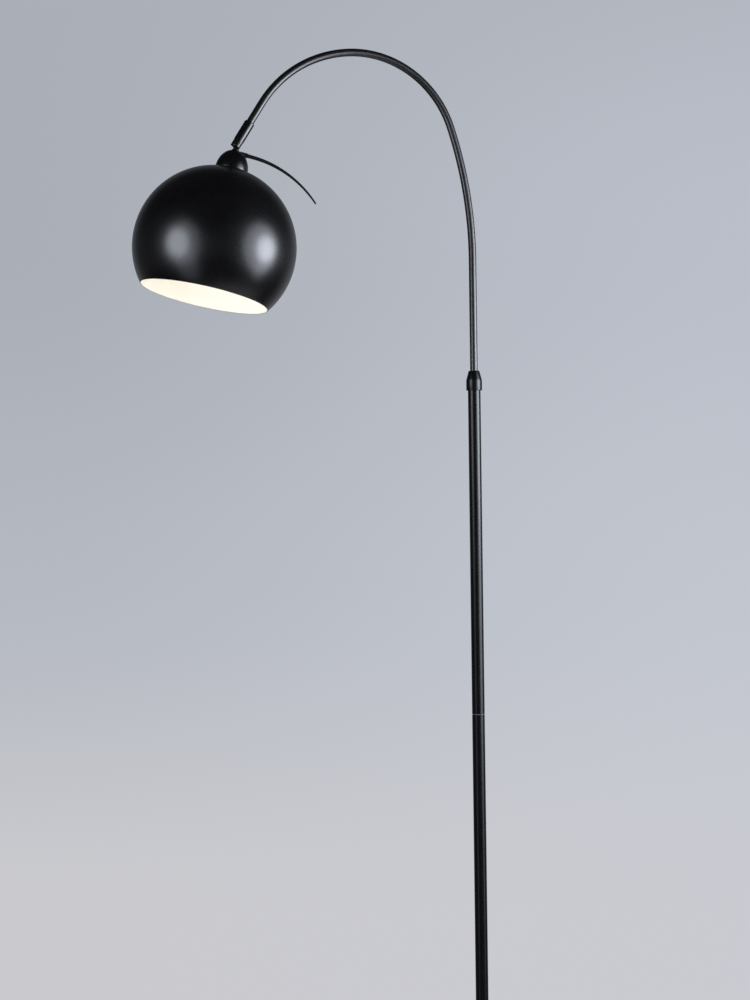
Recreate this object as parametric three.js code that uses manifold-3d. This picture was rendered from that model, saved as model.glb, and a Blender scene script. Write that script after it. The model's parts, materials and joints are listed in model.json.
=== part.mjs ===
// Arc floor lamp: a weighted disc base, a pole of three screwed sections, a tapered clamp nut that
// grips a height-adjustable arc arm, and a spherical shade that tilts on a forked knuckle.
// Millimetres, +Z up. The origin is on the floor under the pole's axis, and the arm reaches to -X.

import * as THREE from 'three';
import { mergeVertices } from 'three/addons/utils/BufferGeometryUtils.js';
import Module from 'manifold-3d';

const wasm = await Module();
wasm.setup();

// ---------------------------------------------------------------- clearances

const FIT = 0.3;              // gap between pieces that pass through, or sit in, each other
const CUT = 1;                // how far a cutting solid runs past the face it cuts

// ---------------------------------------------------------------- base

const BASE_R = 140;           // outer radius of the pressed cover
const BASE_TOP = 26;          // height of the cover's top face
const COVER_WALL = 1.2;
const COVER_LIFT = 1;         // the cover's lower edge above the floor
const COVER_EDGE_R = 6;       // rounded upper edge of the cover
const PAD_T = 3;
const PAD_INSET = 2;          // the pad's edge inside the weight's
const RECESS_R = 20;          // recess under the weight for washer and nut
const RECESS_H = 11;
const DUCT_W = 10.4;          // cord duct on the weight's underside
const DUCT_H = 13;
const GLAND_Z = 10;           // height of the cord gland's axis
const GLAND_R = 4.7;
const GLAND_BORE_R = 3.3;
const GLAND_FLANGE_R = 6.6;
const GLAND_FLANGE_T = 2;
const GLAND_REACH = 8;        // how far the gland runs into the weight's duct
const GLAND_EDGE = 1;         // rounding of its flange and of its bore's mouth
const FOOT_R = 17;            // trim ring at the pole's foot
const FOOT_H = 12;
const FOOT_BAND = 2;          // upright band round its lower edge
const FOOT_LIP = 1.2;         // thickness of its upper edge

// ---------------------------------------------------------------- pole

const POLE_R = 10;
const POLE_WALL = 1.2;
const SECTION_L = 520;        // each of the three tubes
const TUBE_CHAMFER = 0.6;
const STUD_R = 5;             // M10 stem that holds the pole to the base
const STUD_BORE_R = 3.6;
const STUD_RISE = 28;         // the stem's reach above the base cover
const STUD_SHOW = 1;          // the stem's end below its nut
const NUT_AF = 17;            // hexagon nut on the stem
const NUT_H = 7;
const WASHER_R = 16;
const WASHER_T = 1.6;
const SOCKET_L = 26;          // threaded bushes and spigots between the sections
const SOCKET_INSET = 1;       // the bush's lower end inside the tube
const SPIGOT_R = 6;
const SPIGOT_BORE_R = 4;
const SPIGOT_L = 22;
const SPIGOT_CHAMFER = 1;
const JOINER_L = 30;

// ---------------------------------------------------------------- height clamp

const CLAMP_R = 12.6;         // tapered clamp nut
const CLAMP_CYL_H = 16;
const CLAMP_CONE_H = 15.1;
const CLAMP_TOP_R = 8.5;
const CLAMP_EDGE = 0.8;
const CLAMP_LAP = 6;          // how far the nut covers the pole's top end
const CLAMP_THREAD_R = 10.6;
const CLAMP_SPIGOT_L = 24;
const CLAMP_FLANGE_T = 2;
const SEAT_LOW_R = 7.2;       // taper seat for the collet
const SEAT_TOP_R = 8.7;
const SEAT_FLOOR = 3;         // the seat starts this far above the flange
const SEAT_H = 8;
const COLLET_TOP_H = 4;       // the collet's nose above the seat
const COLLET_NOSE_R = 6.95;
const COLLET_SLOTS = 3;
const COLLET_SLOT_W = 1.2;
const COLLET_ROOT_H = 2;      // closed ring under the slots

// ---------------------------------------------------------------- arm

const ARM_R = 6;
const ARM_WALL = 1;
const ARM_STRAIGHT = 176.6;     // straight stretch above the clamp nut, which gives the height travel
const RISE_BEND_R = 655;      // the arc's three bends, from the pole on: radius and turning angle
const RISE_BEND_DEG = 18.6;
const CREST_BEND_R = 161;
const CREST_BEND_DEG = 76;
const FALL_BEND_R = 187;
const FALL_BEND_DEG = 53.4;
const ARM_TAIL = 75;          // from the last bend to the knuckle's pivot
const GUIDE_L = 25;           // guide on the arm's lower end
const GUIDE_LIP = 2.5;
const GUIDE_LIP_R = 4.6;
const ARM_STEPS = 44;         // sections along the bent tube
const ARM_SIDES = 14;         // sides of the bent tube

// ---------------------------------------------------------------- sleeve and knuckle

const SLEEVE_R = 8;
const SLEEVE_L = 45;
const SLEEVE_EDGE = 1.6;      // rounded upper shoulder
const SLEEVE_CHAMFER = 0.5;
const SLEEVE_BELOW = 6.6;     // the sleeve's end below the pivot
const SLEEVE_WEB_TOP = 14;    // web between fork and arm ends this far above the pivot
const SLEEVE_WEB_BORE_R = 4;
const FORK_TOP = 5.2;         // the fork's floor above the pivot
const TONGUE_T = 6;
const HINGE_WASHER_T = 0.5;
const WASHER_GAP = 0.1;
const HINGE_R = 2;            // cross screw
const HINGE_HEAD_R = 3.7;
const HINGE_HEAD_H = 1.7;
const GROOVE_AT = 26;         // groove in the arm for the grub screw, above the pivot
const GROOVE_W = 4;
const GROOVE_DEPTH = 0.4;
const GRUB_R = 2;
const GRUB_TIP_R = 1.4;
const GRUB_SOCKET_R = 1.1;
const GRUB_SOCKET_DEPTH = 0.9;
const GRUB_FLOOR = 0.15;      // the grub screw's tip above the groove's floor
const SCREW_CHAMFER = 0.3;
const DRIVER_SLOT_W = 0.9;
const DRIVER_SLOT_DEPTH = 0.4;

// ---------------------------------------------------------------- head, measured down from the pivot

const HEAD_LEAN = 13;         // the head's axis from the vertical, degrees
const EYE_R = 4.25;
const SHOULDER_TOP = 11;
const SHOULDER_T = 1;
const SHOULDER_R = 6;
const NECK_R = 5;
const NECK_BORE_R = 3.5;
const NECK_SLIT_R = 1.7;
const NECK_END = 34;
const WINDOW_BELOW = 1.2;     // the lead's window in the neck, below the eye
const WINDOW_H = 3;
const CAP_TOP = 12.3;         // flat on top of the cap
const CAP_FLAT_R = 6.2;
const CAP_R = 25.2;
const CAP_WALL = 2;
const CAP_CEILING_MARGIN = 2; // flat ceiling in the cap, wider than the lock nut
const SHADE_TOP = 43;         // from the pivot to the flat on top of the shade
const NECK_NUT_AF = 14;
const NECK_NUT_H = 3;

const SOCKET_R = 3.6;         // the cap's socket for the handle
const SOCKET_TO = 20;
const SOCKET_AXIS = 2.4;      // the socket's axis below the flat on top of the cap
const SOCKET_DEPTH = 10;
const HANDLE_PIN_R = 2;
const HANDLE_ROOT_R = 3;
const HANDLE_TIP_R = 1.35;
const HANDLE_STRAIGHT_TO = 30;
const HANDLE_ARC_R = 163.6;
const HANDLE_ARC_DEG = 42.4;
const HANDLE_STEPS = 14;
const HANDLE_SIDES = 12;

const SHADE_R = 125;
const SHADE_WALL = 1;
const SHADE_MOUTH = 77;       // the opening's plane below the centre
const SHADE_SEAT_R = 22.5;    // pressed flat round the top hole
const HOLDER_R = 19.7;
const HOLDER_TOP = 27;
const HOLDER_CROWN_R = 13;
const HOLDER_NECK_R = 17;
const HOLDER_WALL = 2;
const HOLDER_FLANGE_R = 22;
const HOLDER_FLANGE_T = 3;
const HOLDER_L = 60;
const HOLDER_THREAD_L = 27;
const HOLDER_TAPER = 1.7;
const RING_R = 27;
const RING_T = 4;
const RING_SKIRT_R = 23;
const RING_SKIRT_H = 6;
const RING_RELIEF = 1.6;      // the flange drops away from the shade's curve
const RING_NOTCHES = 6;
const RING_NOTCH_W = 4;
const RING_NOTCH_DEPTH = 1;
const INSERT_T = 7;
const INSERT_AT = 53;         // top of the ceramic insert
const INSERT_SKIRT = 22;
const LEAD_HOLE_R = 1.5;
const LEAD_HOLE_AT = 8;
const CONTACT_R = 3;
const CONTACT_H = 2;
const BULB_CAP_R = 13;
const BULB_CAP_L = 24;
const BULB_R = 30;
const BULB_NECK_R = 12;
const BULB_LENGTH = 108;
const BULB_WALL = 1;
const BULB_TIP_R = 4;
const BULB_TIP_H = 3;
const BULB_TANGENT_DEG = 20.5;

// ---------------------------------------------------------------- derived heights

const SEAM_1 = BASE_TOP + SECTION_L;
const SEAM_2 = SEAM_1 + SECTION_L;
const POLE_TOP = SEAM_2 + SECTION_L;
const CLAMP_BOTTOM = POLE_TOP - CLAMP_LAP;
const CLAMP_TOP = CLAMP_BOTTOM + CLAMP_CYL_H + CLAMP_CONE_H;
const GUIDE_TOP = POLE_TOP - CLAMP_SPIGOT_L - FIT;
const ARM_FOOT = GUIDE_TOP - GUIDE_L + GUIDE_LIP + FIT;
const POLE_BORE_R = POLE_R - POLE_WALL;
const SLEEVE_LEAN = 180 - RISE_BEND_DEG - CREST_BEND_DEG - FALL_BEND_DEG;
const FORK_W = TONGUE_T + 2 * (HINGE_WASHER_T + 2 * WASHER_GAP);
const SEAT_HEIGHT = Math.sqrt(SHADE_R ** 2 - SHADE_SEAT_R ** 2);
const GLOBE_DROP = SHADE_TOP + SEAT_HEIGHT;
const CAP_RIM = GLOBE_DROP - Math.sqrt(SHADE_R ** 2 - CAP_R ** 2) - 2 * FIT;
const SHADE_HOLE_R = HOLDER_R + FIT;
const SOCKET_DOWN = CAP_TOP + SOCKET_AXIS;
const SOCKET_FROM = NECK_NUT_AF / 2 + 2 * FIT;

// ---------------------------------------------------------------- finishes

const BLACK_PAINT = { color: 0x131416, roughness: 0.42, metalness: 0.15 };
const ZINC = { color: 0xa9acae, roughness: 0.4, metalness: 0.9 };
const BRASS = { color: 0xb5934c, roughness: 0.35, metalness: 0.9 };
const IRON = { color: 0x4a4a4b, roughness: 0.8, metalness: 0.6 };
const BLACK_PLASTIC = { color: 0x1a1a1b, roughness: 0.55, metalness: 0 };
const RUBBER = { color: 0x202020, roughness: 0.9, metalness: 0 };
const CERAMIC = { color: 0xe9e6df, roughness: 0.4, metalness: 0 };
const OPAL = { color: 0xfff4dc, roughness: 0.3, metalness: 0 };

// ---------------------------------------------------------------- geometry helpers

const BROAD = 48;             // sides of the base and the shade
const ROUND = 24;             // sides of the tubes, nuts and housings
const SMALL = 16;             // sides of screws and small bores
const EDGE_STEPS = 3;         // facets of a rounded edge

const radians = THREE.MathUtils.degToRad;
const degrees = THREE.MathUtils.radToDeg;

// Keeps positions only, joins equal vertices and drops triangles that have no area left.
function weld(geometry) {
  const bare = geometry.clone();
  for (const name of Object.keys(bare.attributes)) {
    if (name !== 'position') bare.deleteAttribute(name);
  }
  const merged = mergeVertices(bare, 1e-5);
  const index = merged.index.array;
  const kept = [];
  for (let i = 0; i < index.length; i += 3) {
    const [a, b, c] = [index[i], index[i + 1], index[i + 2]];
    if (a !== b && b !== c && c !== a) kept.push(a, b, c);
  }
  merged.setIndex(kept);
  return faceOutward(merged);
}

// Turns the faces round if the body is inside out.
function faceOutward(geometry) {
  const position = geometry.attributes.position;
  const index = geometry.index.array;
  const corner = [new THREE.Vector3(), new THREE.Vector3(), new THREE.Vector3()];
  let volume = 0;
  for (let i = 0; i < index.length; i += 3) {
    corner.forEach((point, k) => point.fromBufferAttribute(position, index[i + k]));
    volume += corner[0].dot(corner[1].cross(corner[2]));
  }
  if (volume < 0) {
    for (let i = 0; i < index.length; i += 3) {
      [index[i + 1], index[i + 2]] = [index[i + 2], index[i + 1]];
    }
  }
  return geometry;
}

function toSolid(geometry) {
  return new wasm.Manifold(new wasm.Mesh({
    numProp: 3,
    vertProperties: new Float32Array(geometry.attributes.position.array),
    triVerts: new Uint32Array(geometry.index.array),
  }));
}

function fromSolid(solid) {
  const mesh = solid.getMesh();
  const geometry = new THREE.BufferGeometry();
  geometry.setAttribute('position', new THREE.BufferAttribute(mesh.vertProperties, mesh.numProp));
  geometry.setIndex(new THREE.BufferAttribute(mesh.triVerts, 1));
  return geometry;
}

function join(first, ...others) {
  return fromSolid(others.reduce((sum, next) => sum.add(toSolid(next)), toSolid(first)));
}

function cut(body, ...tools) {
  return fromSolid(tools.reduce((rest, tool) => rest.subtract(toSolid(tool)), toSolid(body)));
}

// Revolves a closed outline of [radius, height] points about Z.
function revolve(outline, segments = ROUND) {
  const points = outline.map(([r, z]) => new THREE.Vector2(r, z));
  const [first, last] = [points[0], points[points.length - 1]];
  if (first.x > 0 || last.x > 0) points.push(first.clone());
  return weld(new THREE.LatheGeometry(points, segments).rotateX(Math.PI / 2));
}

function tube(outerR, innerR, low, high, segments = ROUND) {
  return revolve([[innerR, low], [outerR, low], [outerR, high], [innerR, high]], segments);
}

function rod(radius, low, high, segments = SMALL) {
  return revolve([[0, low], [radius, low], [radius, high], [0, high]], segments);
}

function box(sizeX, sizeY, sizeZ, x, y, z) {
  return weld(new THREE.BoxGeometry(sizeX, sizeY, sizeZ).translate(x, y, z));
}

// A rod along Y.
function crossRod(radius, low, high, segments = SMALL) {
  return rod(radius, low, high, segments).rotateX(-Math.PI / 2);
}

// A rod along X.
function lengthRod(radius, low, high, segments = SMALL) {
  return rod(radius, low, high, segments).rotateY(Math.PI / 2);
}

function hexNut(acrossFlats, boreR, low, high) {
  const outline = new THREE.Shape();
  const cornerR = acrossFlats / 2 / Math.cos(Math.PI / 6);
  for (let i = 0; i < 6; i += 1) {
    const angle = (i * Math.PI) / 3;
    outline[i ? 'lineTo' : 'moveTo'](cornerR * Math.cos(angle), cornerR * Math.sin(angle));
  }
  outline.closePath();
  outline.holes.push(new THREE.Path().absarc(0, 0, boreR, 0, 2 * Math.PI, true));
  const settings = { depth: high - low, bevelEnabled: false, curveSegments: SMALL / 2 };
  return weld(new THREE.ExtrudeGeometry(outline, settings).translate(0, 0, low));
}

// Points of a round outline stretch, given as centre, semi-axes and angles in degrees.
function arcPoints(centreR, centreZ, semiR, semiZ, fromDeg, toDeg, steps) {
  return Array.from({ length: steps + 1 }, (_, i) => {
    const angle = radians(fromDeg + ((toDeg - fromDeg) * i) / steps);
    return [centreR + semiR * Math.cos(angle), centreZ + semiZ * Math.sin(angle)];
  });
}

// A path in the XZ plane: straight stretches and tangent arcs, followed by its own length.
class BentPath extends THREE.Curve {
  constructor(start, heading, stretches) {
    super();
    this.start = start;
    this.heading = heading;
    this.stretches = stretches;
    this.total = stretches.reduce((sum, stretch) => sum + stretch.length, 0);
  }

  // The heading is measured from +Z towards -X.
  getPoint(t, target = new THREE.Vector3()) {
    let left = t * this.total;
    let { x, z } = this.start;
    let heading = this.heading;
    for (const { length, radius } of this.stretches) {
      const run = Math.min(left, length);
      if (radius) {
        const turned = heading + run / radius;
        x -= radius * (Math.cos(heading) - Math.cos(turned));
        z += radius * (Math.sin(turned) - Math.sin(heading));
        heading = turned;
      } else {
        x -= run * Math.sin(heading);
        z += run * Math.cos(heading);
      }
      left -= run;
    }
    return target.set(x, 0, z);
  }
}

function bend(radius, angle) {
  return { radius, length: Math.abs(radius) * radians(angle) };
}

// Lofts round sections along a path, each with its own radius, and closes both ends.
function taperedRod(path, radiusAt, steps, sides) {
  const positions = [];
  const index = [];
  const frames = path.computeFrenetFrames(steps, false);
  for (let i = 0; i <= steps; i += 1) {
    const centre = path.getPointAt(i / steps);
    const radius = radiusAt(i / steps);
    for (let k = 0; k < sides; k += 1) {
      const angle = (2 * Math.PI * k) / sides;
      const point = centre.clone()
        .addScaledVector(frames.normals[i], radius * Math.cos(angle))
        .addScaledVector(frames.binormals[i], radius * Math.sin(angle));
      positions.push(point.x, point.y, point.z);
    }
  }
  for (let i = 0; i < steps; i += 1) {
    for (let k = 0; k < sides; k += 1) {
      const [a, b] = [i * sides + k, i * sides + ((k + 1) % sides)];
      index.push(a, b, b + sides, a, b + sides, a + sides);
    }
  }
  for (let k = 1; k < sides - 1; k += 1) {
    const last = steps * sides;
    index.push(0, k + 1, k, last, last + k, last + k + 1);
  }
  const geometry = new THREE.BufferGeometry();
  geometry.setAttribute('position', new THREE.Float32BufferAttribute(positions, 3));
  geometry.setIndex(index);
  return faceOutward(geometry);
}

function piece(name, geometry, finish) {
  geometry.computeVertexNormals();
  const mesh = new THREE.Mesh(geometry, new THREE.MeshStandardMaterial(finish));
  mesh.name = name;
  return mesh;
}

// ---------------------------------------------------------------- base

const WEIGHT_TOP = BASE_TOP - COVER_WALL - FIT;
const WEIGHT_R = BASE_R - COVER_WALL - FIT;
const RECESS_TOP = PAD_T + RECESS_H;
const WASHER_TOP = RECESS_TOP - FIT;
const NUT_TOP = WASHER_TOP - WASHER_T;

function basePad() {
  return rod(WEIGHT_R - PAD_INSET, 0, PAD_T, BROAD);
}

function baseWeight() {
  const edge = COVER_EDGE_R - COVER_WALL;
  const disc = revolve([
    [0, PAD_T],
    [WEIGHT_R, PAD_T],
    ...arcPoints(WEIGHT_R - edge, WEIGHT_TOP - edge, edge, edge, 0, 90, EDGE_STEPS),
    [0, WEIGHT_TOP],
  ], BROAD);
  const ductL = WEIGHT_R + CUT;
  return cut(
    disc,
    rod(STUD_R + FIT, 0, BASE_TOP),
    rod(RECESS_R, 0, RECESS_TOP),
    box(ductL, DUCT_W, DUCT_H + PAD_T, ductL / 2, 0, (DUCT_H + PAD_T) / 2),
  );
}

function baseCover() {
  const inner = COVER_EDGE_R - COVER_WALL;
  const centreR = BASE_R - COVER_EDGE_R;
  const centreZ = BASE_TOP - COVER_EDGE_R;
  const shell = revolve([
    [BASE_R - COVER_WALL, COVER_LIFT],
    [BASE_R, COVER_LIFT],
    ...arcPoints(centreR, centreZ, COVER_EDGE_R, COVER_EDGE_R, 0, 90, EDGE_STEPS + 1),
    [STUD_R + FIT, BASE_TOP],
    [STUD_R + FIT, BASE_TOP - COVER_WALL],
    ...arcPoints(centreR, centreZ, inner, inner, 90, 0, EDGE_STEPS + 1),
  ], BROAD);
  const glandHole = lengthRod(GLAND_R + FIT, centreR, BASE_R + CUT).translate(0, 0, GLAND_Z);
  return cut(shell, glandHole);
}

function cordGland() {
  const face = BASE_R + FIT;
  const outside = face + GLAND_FLANGE_T;
  const edge = GLAND_EDGE;
  return revolve([
    [GLAND_BORE_R, BASE_R - GLAND_REACH],
    [GLAND_R, BASE_R - GLAND_REACH],
    [GLAND_R, face],
    [GLAND_FLANGE_R, face],
    ...arcPoints(GLAND_FLANGE_R - edge, outside - edge, edge, edge, 0, 90, EDGE_STEPS),
    [GLAND_BORE_R + edge, outside],
    [GLAND_BORE_R, outside - edge],
  ], SMALL).rotateY(Math.PI / 2).translate(0, 0, GLAND_Z);
}

function poleFoot() {
  const bore = POLE_R + FIT;
  const high = BASE_TOP + FOOT_H;
  const sweepR = FOOT_R - bore - FOOT_LIP;
  return revolve([
    [bore, BASE_TOP],
    [FOOT_R, BASE_TOP],
    [FOOT_R, BASE_TOP + FOOT_BAND],
    ...arcPoints(FOOT_R, high, sweepR, FOOT_H - FOOT_BAND, 270, 180, EDGE_STEPS + 1),
    [bore, high],
  ]);
}

function poleStud() {
  return tube(STUD_R, STUD_BORE_R, NUT_TOP - NUT_H - STUD_SHOW, BASE_TOP + STUD_RISE, SMALL);
}

// ---------------------------------------------------------------- pole

function poleSection(low) {
  const high = low + SECTION_L;
  return revolve([
    [POLE_BORE_R, low],
    [POLE_R - TUBE_CHAMFER, low],
    [POLE_R, low + TUBE_CHAMFER],
    [POLE_R, high - TUBE_CHAMFER],
    [POLE_R - TUBE_CHAMFER, high],
    [POLE_BORE_R, high],
  ]);
}

// Bush in a tube's lower end that a stem or a spigot screws into.
function threadedSocket(tubeEnd, threadR) {
  const low = tubeEnd + SOCKET_INSET;
  return tube(POLE_BORE_R - FIT, threadR + FIT, low, low + SOCKET_L, SMALL);
}

// Plug in a tube's upper end, with the spigot that enters the next tube.
function joiner(seam) {
  const body = POLE_BORE_R - FIT;
  return revolve([
    [SPIGOT_BORE_R, seam - JOINER_L],
    [body, seam - JOINER_L],
    [body, seam],
    [SPIGOT_R, seam],
    [SPIGOT_R, seam + SPIGOT_L - SPIGOT_CHAMFER],
    [SPIGOT_R - SPIGOT_CHAMFER, seam + SPIGOT_L],
    [SPIGOT_BORE_R, seam + SPIGOT_L],
  ], SMALL);
}

// ---------------------------------------------------------------- height clamp

const FLANGE_TOP = POLE_TOP + CLAMP_FLANGE_T;
const SEAT_LOW = FLANGE_TOP + SEAT_FLOOR;
const SEAT_TOP = SEAT_LOW + SEAT_H;
const NOSE_TOP = SEAT_TOP + COLLET_TOP_H;
const ARM_HOLE_R = ARM_R + 2 * FIT;

function clampBody() {
  return revolve([
    [ARM_HOLE_R, POLE_TOP - CLAMP_SPIGOT_L],
    [POLE_BORE_R - FIT, POLE_TOP - CLAMP_SPIGOT_L],
    [POLE_BORE_R - FIT, POLE_TOP],
    [POLE_R, POLE_TOP],
    [POLE_R, FLANGE_TOP],
    [CLAMP_THREAD_R, FLANGE_TOP],
    [CLAMP_THREAD_R, SEAT_TOP],
    [SEAT_TOP_R, SEAT_TOP],
    [SEAT_LOW_R, SEAT_LOW],
    [ARM_HOLE_R, SEAT_LOW],
  ]);
}

function collet() {
  const sleeve = revolve([
    [ARM_R + FIT, SEAT_LOW + FIT],
    [SEAT_LOW_R - FIT, SEAT_LOW + FIT],
    [SEAT_TOP_R - FIT, SEAT_TOP],
    [COLLET_NOSE_R, NOSE_TOP],
    [ARM_R + FIT, NOSE_TOP],
  ]);
  const slotLow = SEAT_LOW + COLLET_ROOT_H;
  const slotH = NOSE_TOP - slotLow + CUT;
  const slots = Array.from({ length: COLLET_SLOTS }, (_, i) => (
    box(SEAT_TOP_R + CUT, COLLET_SLOT_W, slotH, (SEAT_TOP_R + CUT) / 2, 0, slotLow + slotH / 2)
      .rotateZ(radians((180 / COLLET_SLOTS) * (2 * i + 1)))
  ));
  return cut(sleeve, ...slots);
}

// Smooth nut: a short cylinder that tapers to the arm, and presses the collet's nose down.
function clampNut() {
  const coneLow = CLAMP_BOTTOM + CLAMP_CYL_H;
  const edge = CLAMP_EDGE;
  const coneDeg = degrees(Math.atan((CLAMP_R - CLAMP_TOP_R) / CLAMP_CONE_H));
  return revolve([
    [CLAMP_THREAD_R + FIT, CLAMP_BOTTOM],
    [CLAMP_R - edge / 2, CLAMP_BOTTOM],
    [CLAMP_R, CLAMP_BOTTOM + edge / 2],
    [CLAMP_R, coneLow],
    ...arcPoints(CLAMP_TOP_R - edge, CLAMP_TOP - edge, edge, edge, coneDeg, 90, EDGE_STEPS),
    [ARM_HOLE_R, CLAMP_TOP],
    [ARM_HOLE_R, NOSE_TOP + 4 * FIT],
    [SEAT_TOP_R + 2 * FIT, SEAT_TOP + 2 * FIT],
    [CLAMP_THREAD_R + FIT, SEAT_TOP + 2 * FIT],
  ]);
}

// ---------------------------------------------------------------- arm

const ARM_START = { x: 0, z: ARM_FOOT };
const ARM_STRETCHES = [
  { length: CLAMP_TOP - ARM_FOOT + ARM_STRAIGHT },
  bend(RISE_BEND_R, RISE_BEND_DEG),
  bend(CREST_BEND_R, CREST_BEND_DEG),
  bend(FALL_BEND_R, FALL_BEND_DEG),
];

// Where the arm's line meets the knuckle, and where the tube itself ends.
const PIVOT = new BentPath(ARM_START, 0, [...ARM_STRETCHES, { length: ARM_TAIL }]).getPoint(1);

function armGuide() {
  return revolve([
    [GUIDE_LIP_R, GUIDE_TOP - GUIDE_L],
    [POLE_BORE_R - FIT, GUIDE_TOP - GUIDE_L],
    [POLE_BORE_R - FIT, GUIDE_TOP],
    [ARM_R + FIT, GUIDE_TOP],
    [ARM_R + FIT, ARM_FOOT - FIT],
    [GUIDE_LIP_R, ARM_FOOT - FIT],
  ], SMALL);
}

// The bent tube, with a turned groove near its end for the sleeve's grub screw.
function armTube() {
  const path = new BentPath(ARM_START, 0, [...ARM_STRETCHES, { length: ARM_TAIL - SLEEVE_WEB_TOP }]);
  const section = new THREE.Shape().absarc(0, 0, ARM_R, 0, 2 * Math.PI, false);
  section.holes.push(new THREE.Path().absarc(0, 0, ARM_R - ARM_WALL, 0, 2 * Math.PI, true));
  const bent = weld(new THREE.ExtrudeGeometry(section, {
    steps: ARM_STEPS,
    curveSegments: ARM_SIDES / 2,
    extrudePath: path,
    bevelEnabled: false,
  }));
  const [low, high] = [GROOVE_AT - GROOVE_W / 2, GROOVE_AT + GROOVE_W / 2];
  const groove = tube(ARM_R + CUT, ARM_R - GROOVE_DEPTH, low, high);
  return cut(bent, groove.rotateY(radians(SLEEVE_LEAN)).translate(PIVOT.x, 0, PIVOT.z));
}

// ---------------------------------------------------------------- sleeve and knuckle
// These pieces are made round their own pivot, with +Z up along the sleeve.

function armSleeve() {
  const low = -SLEEVE_BELOW;
  const high = SLEEVE_L - SLEEVE_BELOW;
  const edge = SLEEVE_EDGE;
  const body = revolve([
    [0, low],
    [SLEEVE_R - SLEEVE_CHAMFER, low],
    [SLEEVE_R, low + SLEEVE_CHAMFER],
    ...arcPoints(SLEEVE_R - edge, high - edge, edge, edge, 0, 90, EDGE_STEPS),
    [0, high],
  ]);
  const side = SLEEVE_R + CUT;
  const headTop = Math.sqrt(SLEEVE_R ** 2 - HINGE_HEAD_R ** 2);
  const sink = revolve([
    [0, headTop - HINGE_HEAD_H - FIT],
    [HINGE_R + FIT, headTop - HINGE_HEAD_H - FIT],
    [HINGE_HEAD_R + FIT, headTop - FIT],
    [HINGE_HEAD_R + FIT, side],
    [0, side],
  ], SMALL).rotateX(-Math.PI / 2);
  return cut(
    body,
    rod(ARM_R + FIT, SLEEVE_WEB_TOP - FIT, high + CUT, ROUND),
    rod(SLEEVE_WEB_BORE_R, FORK_TOP - CUT, SLEEVE_WEB_TOP),
    box(2 * side, FORK_W, FORK_TOP - low + CUT, 0, 0, (FORK_TOP + low - CUT) / 2),
    crossRod(HINGE_R + FIT, -side, side),
    sink,
    crossRod(GRUB_R + FIT, 0, side).translate(0, 0, GROOVE_AT),
  );
}

// Grub screw: its tip rides in the arm's groove, its hexagon socket faces out.
function sleeveScrew() {
  const low = ARM_R - GROOVE_DEPTH + GRUB_FLOOR;
  const shank = revolve([
    [0, low],
    [GRUB_TIP_R, low],
    [GRUB_R, low + GRUB_R - GRUB_TIP_R],
    [GRUB_R, SLEEVE_R - FIT],
    [0, SLEEVE_R - FIT],
  ], SMALL);
  const socket = rod(GRUB_SOCKET_R, SLEEVE_R - FIT - GRUB_SOCKET_DEPTH, SLEEVE_R + CUT, 6);
  return cut(shank, socket).rotateX(-Math.PI / 2).translate(0, 0, GROOVE_AT);
}

function hingeScrew() {
  const headTop = Math.sqrt(SLEEVE_R ** 2 - HINGE_HEAD_R ** 2) - FIT;
  const end = -Math.sqrt(SLEEVE_R ** 2 - HINGE_R ** 2) + FIT;
  const shank = revolve([
    [0, end],
    [HINGE_R - SCREW_CHAMFER, end],
    [HINGE_R, end + SCREW_CHAMFER],
    [HINGE_R, headTop - HINGE_HEAD_H],
    [HINGE_HEAD_R, headTop],
    [0, headTop],
  ], SMALL);
  const slotLow = headTop - DRIVER_SLOT_DEPTH;
  const slotH = DRIVER_SLOT_DEPTH + CUT;
  const slot = box(2 * HINGE_HEAD_R, DRIVER_SLOT_W, slotH, 0, 0, slotLow + slotH / 2);
  return cut(shank, slot).rotateX(-Math.PI / 2);
}

function hingeWasher(side) {
  const near = TONGUE_T / 2 + WASHER_GAP;
  const ring = tube(EYE_R, HINGE_R + FIT, near, near + HINGE_WASHER_T, SMALL);
  return ring.rotateX(side > 0 ? -Math.PI / 2 : Math.PI / 2);
}

// ---------------------------------------------------------------- head
// These pieces are made round the pivot too, with the shade hanging down along -Z.

function neck() {
  const tongue = join(
    crossRod(EYE_R, -TONGUE_T / 2, TONGUE_T / 2),
    box(2 * EYE_R, TONGUE_T, SHOULDER_TOP, 0, 0, -SHOULDER_TOP / 2),
    rod(SHOULDER_R, -SHOULDER_TOP - SHOULDER_T, -SHOULDER_TOP),
    rod(NECK_R, -NECK_END, -SHOULDER_TOP - SHOULDER_T / 2),
  );
  const windowZ = -EYE_R - WINDOW_BELOW - WINDOW_H / 2;
  return cut(
    tongue,
    crossRod(HINGE_R + FIT, -TONGUE_T, TONGUE_T),
    box(4 * EYE_R, 2 * NECK_SLIT_R, WINDOW_H, 0, 0, windowZ),
    rod(NECK_SLIT_R, -SHOULDER_TOP - SHOULDER_T - CUT, windowZ),
    rod(NECK_BORE_R, -NECK_END - CUT, -SHOULDER_TOP - SHOULDER_T - CUT / 2),
  );
}

// Bell-like cap: half an ellipse from its rim up to a small flat, inside and outside.
const CAP_INNER_R = CAP_R - CAP_WALL;
const CAP_CEILING_R = NECK_NUT_AF / 2 + CAP_CEILING_MARGIN;
const CAP_HEIGHT = (CAP_RIM - CAP_TOP) / Math.sqrt(1 - (CAP_FLAT_R / CAP_R) ** 2);
const CAP_INNER_HEIGHT = CAP_HEIGHT - CAP_WALL;
const CAP_CEILING = CAP_INNER_HEIGHT * Math.sqrt(1 - (CAP_CEILING_R / CAP_INNER_R) ** 2) - CAP_RIM;

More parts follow.
